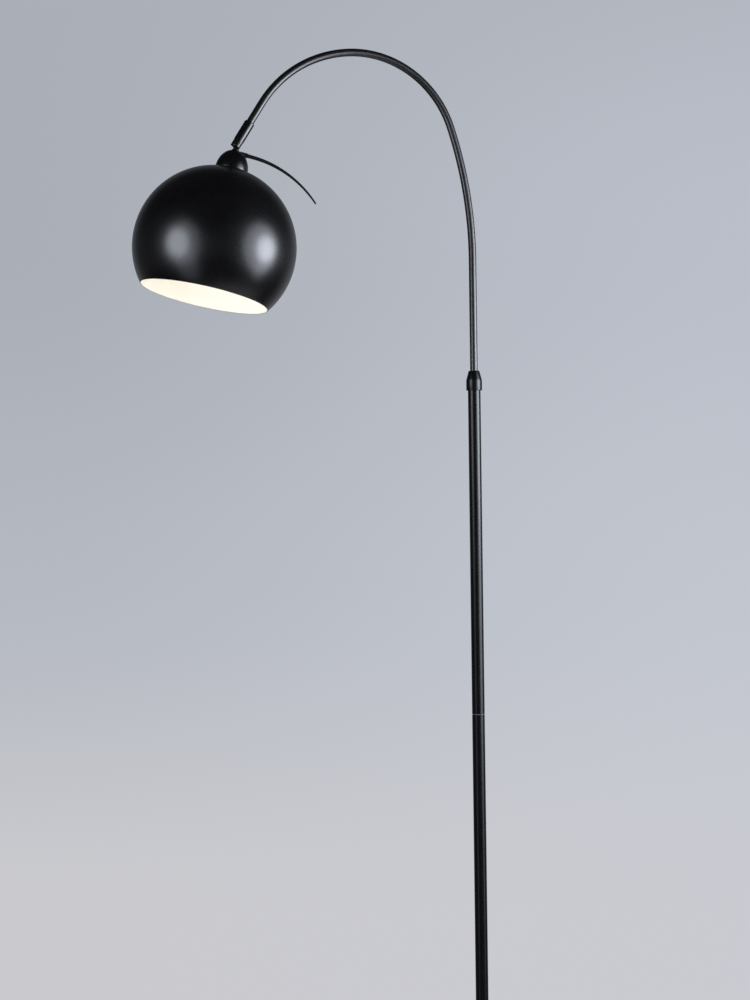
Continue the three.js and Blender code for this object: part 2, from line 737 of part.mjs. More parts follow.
function cap() {
  const flatDeg = degrees(Math.acos(CAP_FLAT_R / CAP_R));
  const ceilingDeg = degrees(Math.acos(CAP_CEILING_R / CAP_INNER_R));
  const shell = revolve([
    [NECK_R + FIT, -CAP_TOP],
    ...arcPoints(0, -CAP_RIM, CAP_R, CAP_HEIGHT, flatDeg, 0, 8),
    ...arcPoints(0, -CAP_RIM, CAP_INNER_R, CAP_INNER_HEIGHT, 0, ceilingDeg, 5),
    [NECK_R + FIT, CAP_CEILING],
  ]);
  const socket = lengthRod(SOCKET_R, SOCKET_FROM, SOCKET_TO).translate(0, 0, -SOCKET_DOWN);
  const bore = lengthRod(HANDLE_PIN_R + FIT, SOCKET_TO - SOCKET_DEPTH - FIT, SOCKET_TO + CUT)
    .translate(0, 0, -SOCKET_DOWN);
  return cut(join(shell, socket), bore);
}

// A thin rod that tapers from its pinned root to its rounded tip along an arc.
function handle() {
  const root = SOCKET_TO + FIT;
  const path = new BentPath({ x: root, z: -SOCKET_DOWN }, -Math.PI / 2, [
    { length: HANDLE_STRAIGHT_TO - root },
    bend(-HANDLE_ARC_R, HANDLE_ARC_DEG),
  ]);
  const radiusAt = (t) => THREE.MathUtils.lerp(HANDLE_ROOT_R, HANDLE_TIP_R, t);
  const tip = path.getPoint(1);
  return join(
    taperedRod(path, radiusAt, HANDLE_STEPS, HANDLE_SIDES),
    weld(new THREE.SphereGeometry(HANDLE_TIP_R, HANDLE_SIDES, HANDLE_SIDES / 2)
      .translate(tip.x, tip.y, tip.z)),
    lengthRod(HANDLE_PIN_R, SOCKET_TO - SOCKET_DEPTH, root + CUT).translate(0, 0, -SOCKET_DOWN),
  );
}

// Lock nut that draws the cap up against the neck's shoulder. A flat faces the handle's socket.
function neckNut() {
  const high = CAP_CEILING - FIT;
  return hexNut(NECK_NUT_AF, NECK_R + FIT, high - NECK_NUT_H, high).rotateZ(Math.PI / 6);
}

// E27 holder: a crown that screws on the neck, a flange above the shade and a thread below it.
function lampholder() {
  const flangeLow = SHADE_TOP - FIT;
  const flangeHigh = flangeLow - HOLDER_FLANGE_T;
  const mouth = HOLDER_TOP + HOLDER_L;
  const bore = HOLDER_R - HOLDER_WALL - HOLDER_TAPER;
  return revolve([
    [NECK_R + FIT, -HOLDER_TOP],
    [HOLDER_CROWN_R, -HOLDER_TOP],
    [HOLDER_NECK_R, -HOLDER_TOP - HOLDER_NECK_R + HOLDER_CROWN_R],
    [HOLDER_NECK_R, -flangeHigh],
    [HOLDER_FLANGE_R, -flangeHigh],
    [HOLDER_FLANGE_R, -flangeLow],
    [HOLDER_R, -flangeLow],
    [HOLDER_R, -flangeLow - HOLDER_THREAD_L],
    [HOLDER_R - HOLDER_TAPER, -mouth],
    [bore, -mouth],
    [bore, -HOLDER_TOP - HOLDER_NECK_R + HOLDER_CROWN_R],
    [HOLDER_CROWN_R - HOLDER_WALL, -HOLDER_TOP - HOLDER_WALL],
    [NECK_R + FIT, -HOLDER_TOP - HOLDER_WALL],
  ]);
}

// Ceramic cup with the threaded sleeve that the bulb screws into, and two lead holes.
function holderInsert() {
  const outer = HOLDER_R - HOLDER_WALL - HOLDER_TAPER - FIT;
  const floor = INSERT_AT + INSERT_T;
  const cup = revolve([
    [0, -INSERT_AT],
    [outer, -INSERT_AT],
    [outer, -floor - INSERT_SKIRT],
    [BULB_CAP_R + FIT, -floor - INSERT_SKIRT],
    [BULB_CAP_R + FIT, -floor],
    [0, -floor],
  ]);
  const lead = (side) => rod(LEAD_HOLE_R, -floor - CUT, -INSERT_AT + CUT)
    .translate(side * LEAD_HOLE_AT, 0, 0);
  return cut(cup, lead(-1), lead(1));
}

function holderContact() {
  const high = -(INSERT_AT + INSERT_T + FIT);
  return rod(CONTACT_R, high - CONTACT_H, high);
}

// Sphere with a pressed flat round the holder's hole, open below.
function shade() {
  const inner = SHADE_R - SHADE_WALL;
  const degreesOf = (radius, height) => degrees(Math.asin(height / radius));
  const seatInner = SEAT_HEIGHT - SHADE_WALL;
  return revolve([
    [SHADE_HOLE_R, -GLOBE_DROP + SEAT_HEIGHT],
    ...arcPoints(0, -GLOBE_DROP, SHADE_R, SHADE_R,
      degreesOf(SHADE_R, SEAT_HEIGHT), degreesOf(SHADE_R, -SHADE_MOUTH), 13),
    ...arcPoints(0, -GLOBE_DROP, inner, inner,
      degreesOf(inner, -SHADE_MOUTH), degreesOf(inner, seatInner), 11),
    [SHADE_HOLE_R, -GLOBE_DROP + seatInner],
  ], BROAD);
}

// Threaded ring that clamps the shade up against the holder's flange.
function shadeRing() {
  const high = -(SHADE_TOP + SHADE_WALL + FIT);
  const bore = HOLDER_R + FIT;
  const ring = revolve([
    [bore, high],
    [HOLDER_FLANGE_R, high],
    [RING_R, high - RING_RELIEF],
    [RING_R, high - RING_T],
    [RING_SKIRT_R, high - RING_T],
    [RING_SKIRT_R, high - RING_T - RING_SKIRT_H],
    [bore, high - RING_T - RING_SKIRT_H],
  ]);
  const notchAt = RING_R - RING_NOTCH_DEPTH + RING_NOTCH_W / 2;
  const notches = Array.from({ length: RING_NOTCHES }, (_, i) => (
    box(RING_NOTCH_W, RING_NOTCH_W, RING_T + 2 * CUT, notchAt, 0, high - RING_T / 2)
      .rotateZ(radians((360 / RING_NOTCHES) * i))
  ));
  return cut(ring, ...notches);
}

// ---------------------------------------------------------------- bulb

const BULB_TIP = INSERT_AT + INSERT_T + FIT + CONTACT_H + FIT;

// Screw cap, open towards the glass.
function bulbCap() {
  const low = -BULB_TIP - BULB_CAP_L;
  return revolve([
    [0, -BULB_TIP],
    [BULB_TIP_R, -BULB_TIP],
    [BULB_CAP_R, -BULB_TIP - BULB_TIP_H],
    [BULB_CAP_R, low],
    [BULB_CAP_R - BULB_WALL, low],
    [BULB_CAP_R - BULB_WALL, -BULB_TIP - BULB_TIP_H - BULB_WALL],
    [0, -BULB_TIP - BULB_TIP_H - BULB_WALL],
  ]);
}

// Pear-shaped glass: a cone from its open neck that runs tangent into a sphere.
function bulbGlass() {
  const neckZ = -BULB_TIP - BULB_CAP_L - FIT;
  const centreZ = -BULB_TIP - BULB_LENGTH + BULB_R;
  const inner = BULB_R - BULB_WALL;
  return revolve([
    [BULB_NECK_R, neckZ],
    ...arcPoints(0, centreZ, BULB_R, BULB_R, BULB_TANGENT_DEG, -90, 7),
    ...arcPoints(0, centreZ, inner, inner, -90, BULB_TANGENT_DEG, 6),
    [BULB_NECK_R - BULB_WALL, neckZ],
  ]);
}

// ---------------------------------------------------------------- assembly

function group(name, ...children) {
  const result = new THREE.Group();
  result.name = name;
  result.add(...children);
  return result;
}

const stand = group(
  'stand',
  piece('base_pad', basePad(), RUBBER),
  piece('base_weight', baseWeight(), IRON),
  piece('base_cover', baseCover(), BLACK_PAINT),
  piece('base_washer', tube(WASHER_R, STUD_R + FIT, NUT_TOP, WASHER_TOP), ZINC),
  piece('base_nut', hexNut(NUT_AF, STUD_R + FIT, NUT_TOP - NUT_H, NUT_TOP), ZINC),
  piece('cord_gland', cordGland(), BLACK_PLASTIC),
  piece('pole_foot', poleFoot(), BLACK_PAINT),
  piece('pole_stud', poleStud(), ZINC),
  piece('pole_lower', poleSection(BASE_TOP), BLACK_PAINT),
  piece('pole_middle', poleSection(SEAM_1), BLACK_PAINT),
  piece('pole_upper', poleSection(SEAM_2), BLACK_PAINT),
  piece('socket_lower', threadedSocket(BASE_TOP, STUD_R), ZINC),
  piece('socket_middle', threadedSocket(SEAM_1, SPIGOT_R), ZINC),
  piece('socket_upper', threadedSocket(SEAM_2, SPIGOT_R), ZINC),
  piece('joiner_lower', joiner(SEAM_1), ZINC),
  piece('joiner_upper', joiner(SEAM_2), ZINC),
  piece('clamp_body', clampBody(), ZINC),
);

const head = group(
  'head',
  piece('neck', neck(), BLACK_PAINT),
  piece('neck_nut', neckNut(), ZINC),
  piece('cap', cap(), BLACK_PAINT),
  piece('handle', handle(), BLACK_PAINT),
  piece('lampholder', lampholder(), BLACK_PLASTIC),
  piece('holder_insert', holderInsert(), CERAMIC),
  piece('holder_contact', holderContact(), BRASS),
  piece('shade', shade(), BLACK_PAINT),
  piece('shade_ring', shadeRing(), BLACK_PLASTIC),
  piece('bulb_cap', bulbCap(), BRASS),
  piece('bulb_glass', bulbGlass(), OPAL),
);
head.rotation.y = radians(HEAD_LEAN - SLEEVE_LEAN);

const knuckle = group(
  'knuckle',
  piece('arm_sleeve', armSleeve(), BLACK_PAINT),
  piece('sleeve_screw', sleeveScrew(), ZINC),
  piece('hinge_screw', hingeScrew(), ZINC),
  piece('hinge_washer_front', hingeWasher(-1), BLACK_PLASTIC),
  piece('hinge_washer_rear', hingeWasher(1), BLACK_PLASTIC),
  head,
);
knuckle.position.copy(PIVOT);
knuckle.rotation.y = radians(SLEEVE_LEAN);

const arm = group(
  'arm',
  piece('arm_guide', armGuide(), BLACK_PLASTIC),
  piece('arm_tube', armTube(), BLACK_PAINT),
  knuckle,
);

const lamp = group(
  'arc_floor_lamp',
  stand,
  piece('clamp_nut', clampNut(), BLACK_PAINT),
  piece('collet', collet(), BRASS),
  arm,
);

export default lamp;
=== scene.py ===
"""Arc floor lamp: its finished pieces and materials, the studio and the camera, as one add-on."""

import json
import math

import bmesh
import bpy
from bpy.props import FloatProperty, FloatVectorProperty, PointerProperty
from mathutils import Matrix, Vector


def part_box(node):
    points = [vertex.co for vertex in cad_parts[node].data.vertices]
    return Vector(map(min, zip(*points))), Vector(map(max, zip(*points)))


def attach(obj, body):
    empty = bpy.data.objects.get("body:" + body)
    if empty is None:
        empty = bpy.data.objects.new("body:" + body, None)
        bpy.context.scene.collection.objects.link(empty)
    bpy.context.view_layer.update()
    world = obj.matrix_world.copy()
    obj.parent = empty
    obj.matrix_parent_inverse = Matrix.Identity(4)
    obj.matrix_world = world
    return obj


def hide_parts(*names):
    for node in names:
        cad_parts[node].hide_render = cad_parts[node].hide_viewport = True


bl_info = {
    "name": "Arc Floor Lamp",
    "version": (1, 0, 0),
    "blender": (4, 5, 0),
    "location": "View3D > Sidebar > Floor Lamp",
    "description": "Models and finishes an arc floor lamp round its fixed frame",
    "category": "Object",
}

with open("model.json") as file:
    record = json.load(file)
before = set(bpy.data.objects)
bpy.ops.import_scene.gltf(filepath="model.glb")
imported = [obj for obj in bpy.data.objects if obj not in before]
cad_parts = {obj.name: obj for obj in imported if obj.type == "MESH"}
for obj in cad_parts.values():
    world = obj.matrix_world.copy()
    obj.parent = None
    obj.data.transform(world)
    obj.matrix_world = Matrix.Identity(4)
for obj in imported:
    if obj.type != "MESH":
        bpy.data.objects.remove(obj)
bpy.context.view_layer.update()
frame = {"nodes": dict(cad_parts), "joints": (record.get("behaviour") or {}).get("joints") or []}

# ---------------------------------------------------------------- facts taken from the frame

MM = 0.001
JOINTS = {joint["name"]: joint for joint in frame["joints"]}
PIVOT = Vector(JOINTS["head_tilt"]["pos_m"])
SLEEVE_AXIS = Vector(JOINTS["head_swivel"]["axis"])
SLEEVE_LEAN = math.atan2(SLEEVE_AXIS.x, SLEEVE_AXIS.z)
HEAD_LEAN = math.radians(13)
HEAD_AXIS = Vector((math.sin(HEAD_LEAN), 0, math.cos(HEAD_LEAN)))
LEANS = {"sleeve": SLEEVE_LEAN, "head": HEAD_LEAN}
COVER_LOW, COVER_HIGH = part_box("base_cover")
FOOT_LOW, FOOT_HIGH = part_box("pole_foot")
GLAND_LOW, GLAND_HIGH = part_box("cord_gland")
GLAND_HEIGHT = (GLAND_LOW.z + GLAND_HIGH.z) / 2
SECTION_LOW, SECTION_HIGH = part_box("pole_lower")
POLE_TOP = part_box("pole_upper")[1].z
NUT_LOW, NUT_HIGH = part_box("clamp_nut")
ARM_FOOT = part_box("arm_tube")[0].z

# ---------------------------------------------------------------- sizes that several pieces share

FIT = 0.3 * MM                # gap between pieces that sit in each other
WEB_TOP = 14 * MM             # top of the sleeve's web, measured up the sleeve from the pivot
GRUB_HEIGHT = 26 * MM         # the grub screw and the arm's groove, measured the same way
SCREW_HOLE = 2.3 * MM         # radius of the holes for both screws and for the handle's pin
SCREW_RADIUS = 2 * MM
SCREW_HEAD = 3.7 * MM         # radius of the cross screw's head
SCREW_CORE = 0.5 * MM         # radius at which a screw's end face is closed
NECK_HOLE = 5.3 * MM          # radius of the holes that the knuckle's threaded tube passes
HANDLE_DROP = 14.7 * MM       # the handle's axis in the cap, below the pivot
SOCKET_FLOOR = 9.7 * MM       # the floor and the mouth of its socket, measured from the head's axis
SOCKET_MOUTH = 20 * MM
SHADE_FLAT = 22.5 * MM        # radius of the flat pressed into the shade's top
SHADE_HOLE = 20 * MM          # radius of the hole in that flat, and of the ring's bore below it

WELD = 1e-6                   # vertices closer than this are one
BROAD = 160                   # sides of the base and the shade
FINE = 96                     # sides of the cap, the holder and its ring
BULB_SIDES = 72
ROUND = 64                    # sides of tubes, nuts and housings
ARM_SIDES = 48
SMALL = 32                    # sides of screws and small bores
CURVE_STEPS = 12              # facets of a quarter turn in an outline
SMOOTH_BELOW = math.radians(32)   # faces that meet at a smaller angle are shaded as one

CAMERA_PLACE = (-1.1076, -2.8518, 1.3768)
CAMERA_YAW = math.radians(18.23)
CAMERA_TILT = math.radians(90.58)
CAMERA_ROLL = math.radians(-0.72)
CAMERA_LENS, CAMERA_SENSOR = 69.22, 36        # mm


# ---------------------------------------------------------------- sizes and colours a user would change


def length(name, description, default):
    return FloatProperty(name=name, description=description, default=default, min=0, unit="LENGTH")


def colour(name, description, default):
    return FloatVectorProperty(
        name=name, description=description, default=default, size=3, min=0, max=1, subtype="COLOR"
    )


class BaseSizes(bpy.types.PropertyGroup):
    """Sizes of the weighted base"""

    cover_radius: length("Cover radius", "Outer radius of the pressed cover", COVER_HIGH.x)
    cover_edge: length("Cover edge", "Radius of the cover's rounded upper edge", 6 * MM)
    cover_wall: length("Cover wall", "Sheet thickness of the cover", 1.2 * MM)
    stem_hole: length("Stem hole", "Radius of the hole for the stem", 5.3 * MM)
    foot_radius: length("Foot radius", "Outer radius of the ring at the pole's foot", FOOT_HIGH.x)
    foot_band: length("Foot band", "Height of the ring's upright lower band", 2 * MM)
    foot_lip: length("Foot lip", "Thickness of the ring's upper edge", 1.2 * MM)
    gland_bore: length("Gland bore", "Radius of the cord gland's bore", 3.3 * MM)
    gland_body: length("Gland body", "Radius of the gland inside the cover", 4.7 * MM)
    gland_flange: length("Gland flange", "Radius of the gland's flange", 6.6 * MM)


class PoleSizes(bpy.types.PropertyGroup):
    """Sizes of the pole and of the nut on top of it"""

    radius: length("Pole radius", "Outer radius of the three tubes", 10 * MM)
    wall: length("Pole wall", "Wall of the three tubes", 1.2 * MM)
    chamfer: length("Chamfer", "Chamfer at each tube's ends", 0.6 * MM)
    nut_radius: length("Nut radius", "Radius of the clamp nut's cylinder", NUT_HIGH.x)
    nut_cylinder: length("Nut cylinder", "Height of the clamp nut's cylinder", 16 * MM)
    nut_top: length("Nut top", "Radius of the clamp nut's upper end", 8.5 * MM)


class ArmSizes(bpy.types.PropertyGroup):
    """Sizes of the bent arm"""

    radius: length("Arm radius", "Outer radius of the arm's tube", 6 * MM)
    wall: length("Arm wall", "Wall of the arm's tube", 1 * MM)
    straight: length("Straight", "Straight stretch above the clamp nut", 176.6 * MM)
    rise: length("Rise", "Radius of the long bend above the pole", 655 * MM)
    crest: length("Crest", "Radius of the bend at the top of the arc", 161 * MM)
    fall: length("Fall", "Radius of the bend down to the head", 187 * MM)
    tail: length("Tail", "Straight stretch from the last bend to the pivot", 75 * MM)


class HeadSizes(bpy.types.PropertyGroup):
    """Sizes of the knuckle, cap, handle and shade"""

    sleeve_radius: length("Sleeve radius", "Radius of the sleeve over the arm's end", 8 * MM)
    sleeve_length: length("Sleeve length", "Length of the sleeve", 45 * MM)
    tongue: length("Tongue", "Thickness of the knuckle's tongue", 6 * MM)
    cap_radius: length("Cap radius", "Radius of the cap's rim", 25.2 * MM)
    cap_wall: length("Cap wall", "Wall of the cap", 2 * MM)
    handle_root: length("Handle root", "Radius of the handle at the cap", 3 * MM)
    handle_tip: length("Handle tip", "Radius of the handle at its tip", 1.35 * MM)
    handle_bend: length("Handle bend", "Radius of the handle's arc", 163.6 * MM)
    shade_drop: length("Shade drop", "From the knuckle's pivot to the shade's flat top", 43 * MM)
    shade_radius: length("Shade radius", "Radius of the globe", 125 * MM)
    shade_wall: length("Shade wall", "Wall of the globe", 1 * MM)
    shade_mouth: length("Mouth depth", "The opening's plane below the globe's centre", 77 * MM)


class FinishColours(bpy.types.PropertyGroup):
    """Colours of the finishes"""

    paint: colour("Paint", "Satin black paint", (0.0009, 0.0009, 0.0011))
    paint_light: colour("Thin paint", "The same paint where it is thin", (0.0019, 0.0019, 0.0021))
    enamel: colour("Enamel", "White enamel inside the shade", (0.84, 0.83, 0.80))
    zinc: colour("Zinc", "Plated steel", (0.52, 0.53, 0.54))
    brass: colour("Brass", "Brass contacts and collet", (0.62, 0.42, 0.16))
    glow: colour("Glow", "Light of the opal bulb", (1.0, 0.965, 0.89))


def seat_height(sizes):
    """The pressed flat on top of the shade, above the globe's centre."""
    return math.sqrt(sizes.shade_radius**2 - SHADE_FLAT**2)


def globe_drop(sizes):
    """From the pivot down to the globe's centre."""
    return sizes.shade_drop + seat_height(sizes)


def globe_centre(sizes):
    return PIVOT - HEAD_AXIS * globe_drop(sizes)


# ---------------------------------------------------------------- modelling


def start(add, **settings):
    """Adds a primitive with nothing else selected, and opens it with its place in its mesh."""
    bpy.ops.object.select_all(action="DESELECT")
    bpy.context.tool_settings.mesh_select_mode = (True, False, False)
    add(**settings)
    bpy.ops.object.transform_apply(location=True, rotation=True, scale=True)
    bpy.ops.object.mode_set(mode="EDIT")


def start_disc(radius, sides, place=(0, 0, 0), rotation=(0, 0, 0)):
    """Opens a filled circle."""
    circle = {"vertices": sides, "radius": radius, "fill_type": "NGON"}
    start(bpy.ops.mesh.primitive_circle_add, location=place, rotation=rotation, **circle)


def pick(kind, wanted):
    """Selects the open mesh's vertices or edges by place, or its faces by centre and normal."""
    bpy.ops.mesh.select_mode(type=kind)
    bpy.ops.mesh.select_all(action="DESELECT")
    data = bpy.context.object.data
    mesh = bmesh.from_edit_mesh(data)
    if kind == "VERT":
        for vert in mesh.verts:
            vert.select_set(wanted(vert.co))
    elif kind == "EDGE":
        for edge in mesh.edges:
            edge.select_set(all(wanted(vert.co) for vert in edge.verts))
    else:
        for face in mesh.faces:
            face.select_set(wanted(face.calc_center_median(), face.normal))
    bmesh.update_edit_mesh(data)


def at_ring(radius, height, tolerance=0.02 * MM):
    """A test for vertices on one ring round Z."""

    def wanted(place):
        return abs(place.z - height) < tolerance and abs(place.xy.length - radius) < tolerance

    return wanted


def draw_out(move):
    """Extrudes what is selected in the open mesh."""
    bpy.ops.mesh.extrude_region_move(TRANSFORM_OT_translate={"value": move})


def resize(factors, centre):
    """Resizes what is selected in the open mesh about a centre."""
    bpy.ops.transform.resize(value=factors, center_override=centre)


def turn(outline, sides=ROUND, close=bpy.ops.mesh.bridge_edge_loops):
    """Draws a ring out along an outline of (radius, height) points, and closes its two ends."""
    (radius, height), *rest = outline
    place = (0, 0, height)
    start(bpy.ops.mesh.primitive_circle_add, vertices=sides, radius=radius, location=place)
    for new_radius, new_height in rest:
        draw_out((0, 0, new_height - height))
        factor = new_radius / radius
        resize((factor, factor, 1), (0, 0, new_height))
        radius, height = new_radius, new_height
    if close:
        bpy.ops.mesh.select_mode(type="EDGE")
        bpy.ops.mesh.select_all(action="DESELECT")
        bpy.ops.mesh.select_non_manifold()
        close()
    tidy_mesh()


def tidy_mesh():
    """Merges doubles in the open mesh and turns its faces outwards."""
    bpy.ops.mesh.select_all(action="SELECT")
    bpy.ops.mesh.remove_doubles(threshold=WELD)
    bpy.ops.mesh.normals_make_consistent(inside=False)


def round_ring(radius, height, width, segments=4):
    """Rounds the edge of the open mesh that runs round Z at that radius and height."""
    pick("EDGE", at_ring(radius, height))
    bpy.ops.mesh.bevel(offset=width, segments=segments, affect="EDGES", clamp_overlap=True)


def arc(centre, size, start_degrees, end_degrees, steps=CURVE_STEPS):
    """Points of an ellipse's arc in an outline."""
    span = end_degrees - start_degrees
    turned = [math.radians(start_degrees + span * i / steps) for i in range(steps + 1)]
    return [(centre[0] + size[0] * math.cos(a), centre[1] + size[1] * math.sin(a)) for a in turned]


def close_editing():
    """Leaves edit mode and gives back the piece."""
    bpy.ops.object.mode_set(mode="OBJECT")
    return bpy.context.object


def only(piece):
    """Makes a piece the only selected one, and the active one."""
    bpy.ops.object.select_all(action="DESELECT")
    piece.select_set(True)
    bpy.context.view_layer.objects.active = piece


def settle(piece, rotation, place=(0, 0, 0)):
    """Turns and moves a piece, and leaves its object unturned at the origin."""
    only(piece)
    piece.rotation_euler = rotation
    piece.location = place
    bpy.ops.object.transform_apply(location=True, rotation=True, scale=True)
    return piece


def put(piece, place, lean=0.0):
    """Leans a piece about Y and moves it to its place."""
    return settle(piece, (0, lean, 0), place)


def lay(piece):
    """Lays a piece down, so that its upper end points to +Y."""
    return settle(piece, (-math.pi / 2, 0, 0))


def modify(piece, kind, **settings):
    """Adds a modifier to a piece, gives it its settings and applies it."""
    only(piece)
    bpy.ops.object.modifier_add(type=kind)
    modifier = piece.modifiers[-1]
    for key, value in settings.items():
        setattr(modifier, key, value)
    bpy.ops.object.modifier_apply(modifier=modifier.name)


def give_wall(piece, thickness):
    """Thickens a skin inwards."""
    modify(piece, "SOLIDIFY", thickness=thickness, offset=-1, use_even_offset=True)
    return piece


def combine(piece, tool, operation="DIFFERENCE"):
    """Cuts a tool out of a piece, or adds it, and removes the tool."""
    modify(piece, "BOOLEAN", operation=operation, solver="EXACT", object=tool)
    bpy.data.objects.remove(tool)


def cylinder(radius, low, high, sides=SMALL, turn_to="Z"):
    """A rod along one axis."""
    rotation = {"Z": (0, 0, 0), "X": (0, math.pi / 2, 0), "Y": (-math.pi / 2, 0, 0)}[turn_to]
    middle = (low + high) / 2
    place = {"Z": (0, 0, middle), "X": (middle, 0, 0), "Y": (0, middle, 0)}[turn_to]
    start(
        bpy.ops.mesh.primitive_cylinder_add,
        vertices=sides,
        radius=radius,
        depth=high - low,
        location=place,
        rotation=rotation,
    )
    return close_editing()


def block(size, place):
    """A block about its middle."""
    start(bpy.ops.mesh.primitive_cube_add, size=1, location=place)
    resize(size, place)
    return close_editing()


def finish_piece(piece, name, body, finish, node):
    """Names and smooths a piece, gives it its material and puts it on its body, for a frame's node.

    The sleeve's and head's pieces are made upright, with the pivot at zero, and are placed here.
    """
    if body in LEANS:
        put(piece, PIVOT, LEANS[body])
    only(piece)
    piece.name = name
    piece.data.name = name
    bpy.ops.object.shade_smooth_by_angle(angle=SMOOTH_BELOW)
    piece.data.materials.clear()
    piece.data.materials.append(finish)
    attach(piece, body)
    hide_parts(node)


# ---------------------------------------------------------------- materials


class Channel:
    """A socket that takes part in plain arithmetic: each operator adds a Math node."""

    def __init__(self, recipe, socket):
        self.recipe = recipe
        self.socket = socket

    def math(self, operation, first, second=0.0):
        return self.recipe.node("Math", {"operation": operation}, {0: first, 1: second})

    def __add__(self, other):
        return self.math("ADD", self, other)

    def __radd__(self, other):
        return self.math("ADD", other, self)

    def __sub__(self, other):
        return self.math("SUBTRACT", self, other)

    def __rsub__(self, other):
        return self.math("SUBTRACT", other, self)

    def __mul__(self, other):
        return self.math("MULTIPLY", self, other)

    def __rmul__(self, other):
        return self.math("MULTIPLY", other, self)

    def __lt__(self, other):
        return self.math("LESS_THAN", self, other)

    def __gt__(self, other):
        return self.math("GREATER_THAN", self, other)

    def __abs__(self):
        return self.math("ABSOLUTE", self)


class Recipe:
    """A node tree that is written from one method, which adds any node."""

    def __init__(self, owner):
        owner.use_nodes = True
        self.owner = owner
        self.tree = owner.node_tree
        self.tree.nodes.clear()

    def node(self, kind, settings=None, inputs=None, output=0):
        """Adds a node: its settings first, then the values or links of its sockets."""
        made = self.tree.nodes.new("ShaderNode" + kind)
        for key, value in (settings or {}).items():
            setattr(made, key, value)
        for key, value in (inputs or {}).items():
            if isinstance(value, Channel):
                self.tree.links.new(value.socket, made.inputs[key])
            else:
                made.inputs[key].default_value = value
        return Channel(self, made.outputs[output]) if len(made.outputs) else made

    def noise(self, place, scale, detail=2.0, roughness=0.5):
        inputs = {"Vector": place, "Scale": scale, "Detail": detail, "Roughness": roughness}
        return self.node("TexNoise", {}, inputs)

    def turning_lines(self, place, scale, distortion):
        """The fine rings that a lathe tool leaves."""
        inputs = {"Vector": place, "Scale": scale, "Distortion": distortion, "Detail": 2.0}
        return self.node("TexWave", {"bands_direction": "Z"}, inputs)

    def measure(self, operation, *vectors):
        """A length, a distance or a dot product."""
        settings = {"operation": operation}
        return self.node("VectorMath", settings, dict(enumerate(vectors)), output="Value")

    def blend(self, factor, first, second):
        """Mixes two colours. Other types' sockets have the same names, so these go by number."""
        inputs = {0: factor, 6: opaque(first), 7: opaque(second)}
        return self.node("Mix", {"data_type": "RGBA"}, inputs, output=2)

    def step(self, value, low, high):
        """0 below low and 1 above high, smooth between."""
        settings = {"interpolation_type": "SMOOTHSTEP"}
        return self.node("MapRange", settings, {"Value": value, "From Min": low, "From Max": high})

    def coordinate(self, place, axis):
        return self.node("SeparateXYZ", {}, {0: place}, output="XYZ".index(axis))

    def bump(self, height, strength, distance):
        return self.node("Bump", {}, {"Height": height, "Strength": strength, "Distance": distance})

    def surface(self, **inputs):
        """Ends a material with one Principled shader."""
        named = {key.replace("_", " "): value for key, value in inputs.items()}
        shader = self.node("BsdfPrincipled", {}, named)
        self.node("OutputMaterial", {}, {"Surface": shader})
        return self.owner


def opaque(shade):
    return shade if isinstance(shade, Channel) else (*shade, 1)


def material(name):
    """A new material's recipe, and the place on the object that its patterns read."""
    recipe = Recipe(bpy.data.materials.new(name))
    return recipe, recipe.node("TexCoord", output="Object")


def sprayed(recipe, place, colours):
    """Sprayed and baked paint: broad clouds, their black, and orange peel with a few dust nibs."""
    cloud = recipe.noise(place, 24, 3)
    peel = recipe.noise(place, 900, 2, 0.6)
    nibs = recipe.step(recipe.noise(place, 210, 1), 0.79, 0.86)
    black = recipe.blend(recipe.step(cloud, 0.3, 0.75), colours.paint, colours.paint_light)
    return cloud, black, recipe.bump(peel + nibs * 1.5, 0.05, 0.05 * MM)


def black_paint(colours, name, gloss=0.6, roughness=0.25, worn_sheen_edges=()):
    """Satin black powder coat. The edges given are heights at which a chamfer's paint is painted
    lighter grey, partly as wear and partly as a painted highlight.
    """
    recipe, place = material(name)
    cloud, shade, relief = sprayed(recipe, place, colours)
    rough = roughness + cloud * 0.05
    height = recipe.coordinate(place, "Z")
    for edge in worn_sheen_edges:
        # painted highlight and wear: a patchy lighter grey band along each chamfer
        near = 1 - recipe.step(abs(height - edge), 0.35 * MM, 0.8 * MM)
        wear_and_sheen = near * recipe.step(cloud, 0.2, 0.5)
        shade = recipe.blend(wear_and_sheen, shade, (0.16, 0.16, 0.17))
        rough = rough - wear_and_sheen * 0.1
    return recipe.surface(
        Base_Color=shade,
        Roughness=rough,
        Specular_IOR_Level=gloss,
        Normal=relief,
    )


def shade_paint(colours, sizes, seat):
    """Black outside and white enamel inside, told apart by the distance from the globe's centre."""
    recipe, place = material("shade_paint_and_enamel")
    cloud, black, relief = sprayed(recipe, place, colours)
    radius, skin = sizes.shade_radius, sizes.shade_wall / 2
    offset = recipe.node("VectorMath", {"operation": "SUBTRACT"}, {0: place, 1: globe_centre(sizes)})
    out = recipe.measure("LENGTH", offset)
    height = recipe.measure("DOT_PRODUCT", offset, HEAD_AXIS)
    inside = (out < radius - skin) * (height < seat - skin)
    warmed = recipe.step(height, -0.2 * radius, seat)
    enamel = recipe.blend(warmed, colours.enamel, (0.82, 0.78, 0.70))
    return recipe.surface(
        Base_Color=recipe.blend(inside, black, enamel),
        Roughness=0.25 + cloud * 0.05 + inside * 0.14,
        Specular_IOR_Level=0.6,
        Normal=relief,
    )


def black_plastic():
    """Moulded black plastic with a spark-eroded texture."""
    recipe, place = material("moulded_black_plastic")
    grain = recipe.noise(place, 2400, 3, 0.7)
    cloud = recipe.noise(place, 60, 2)
    return recipe.surface(
        Base_Color=recipe.blend(cloud, (0.010, 0.010, 0.011), (0.020, 0.020, 0.021)),
        Roughness=0.46 + grain * 0.16,
        Normal=recipe.bump(grain, 0.35, 0.04 * MM),
    )


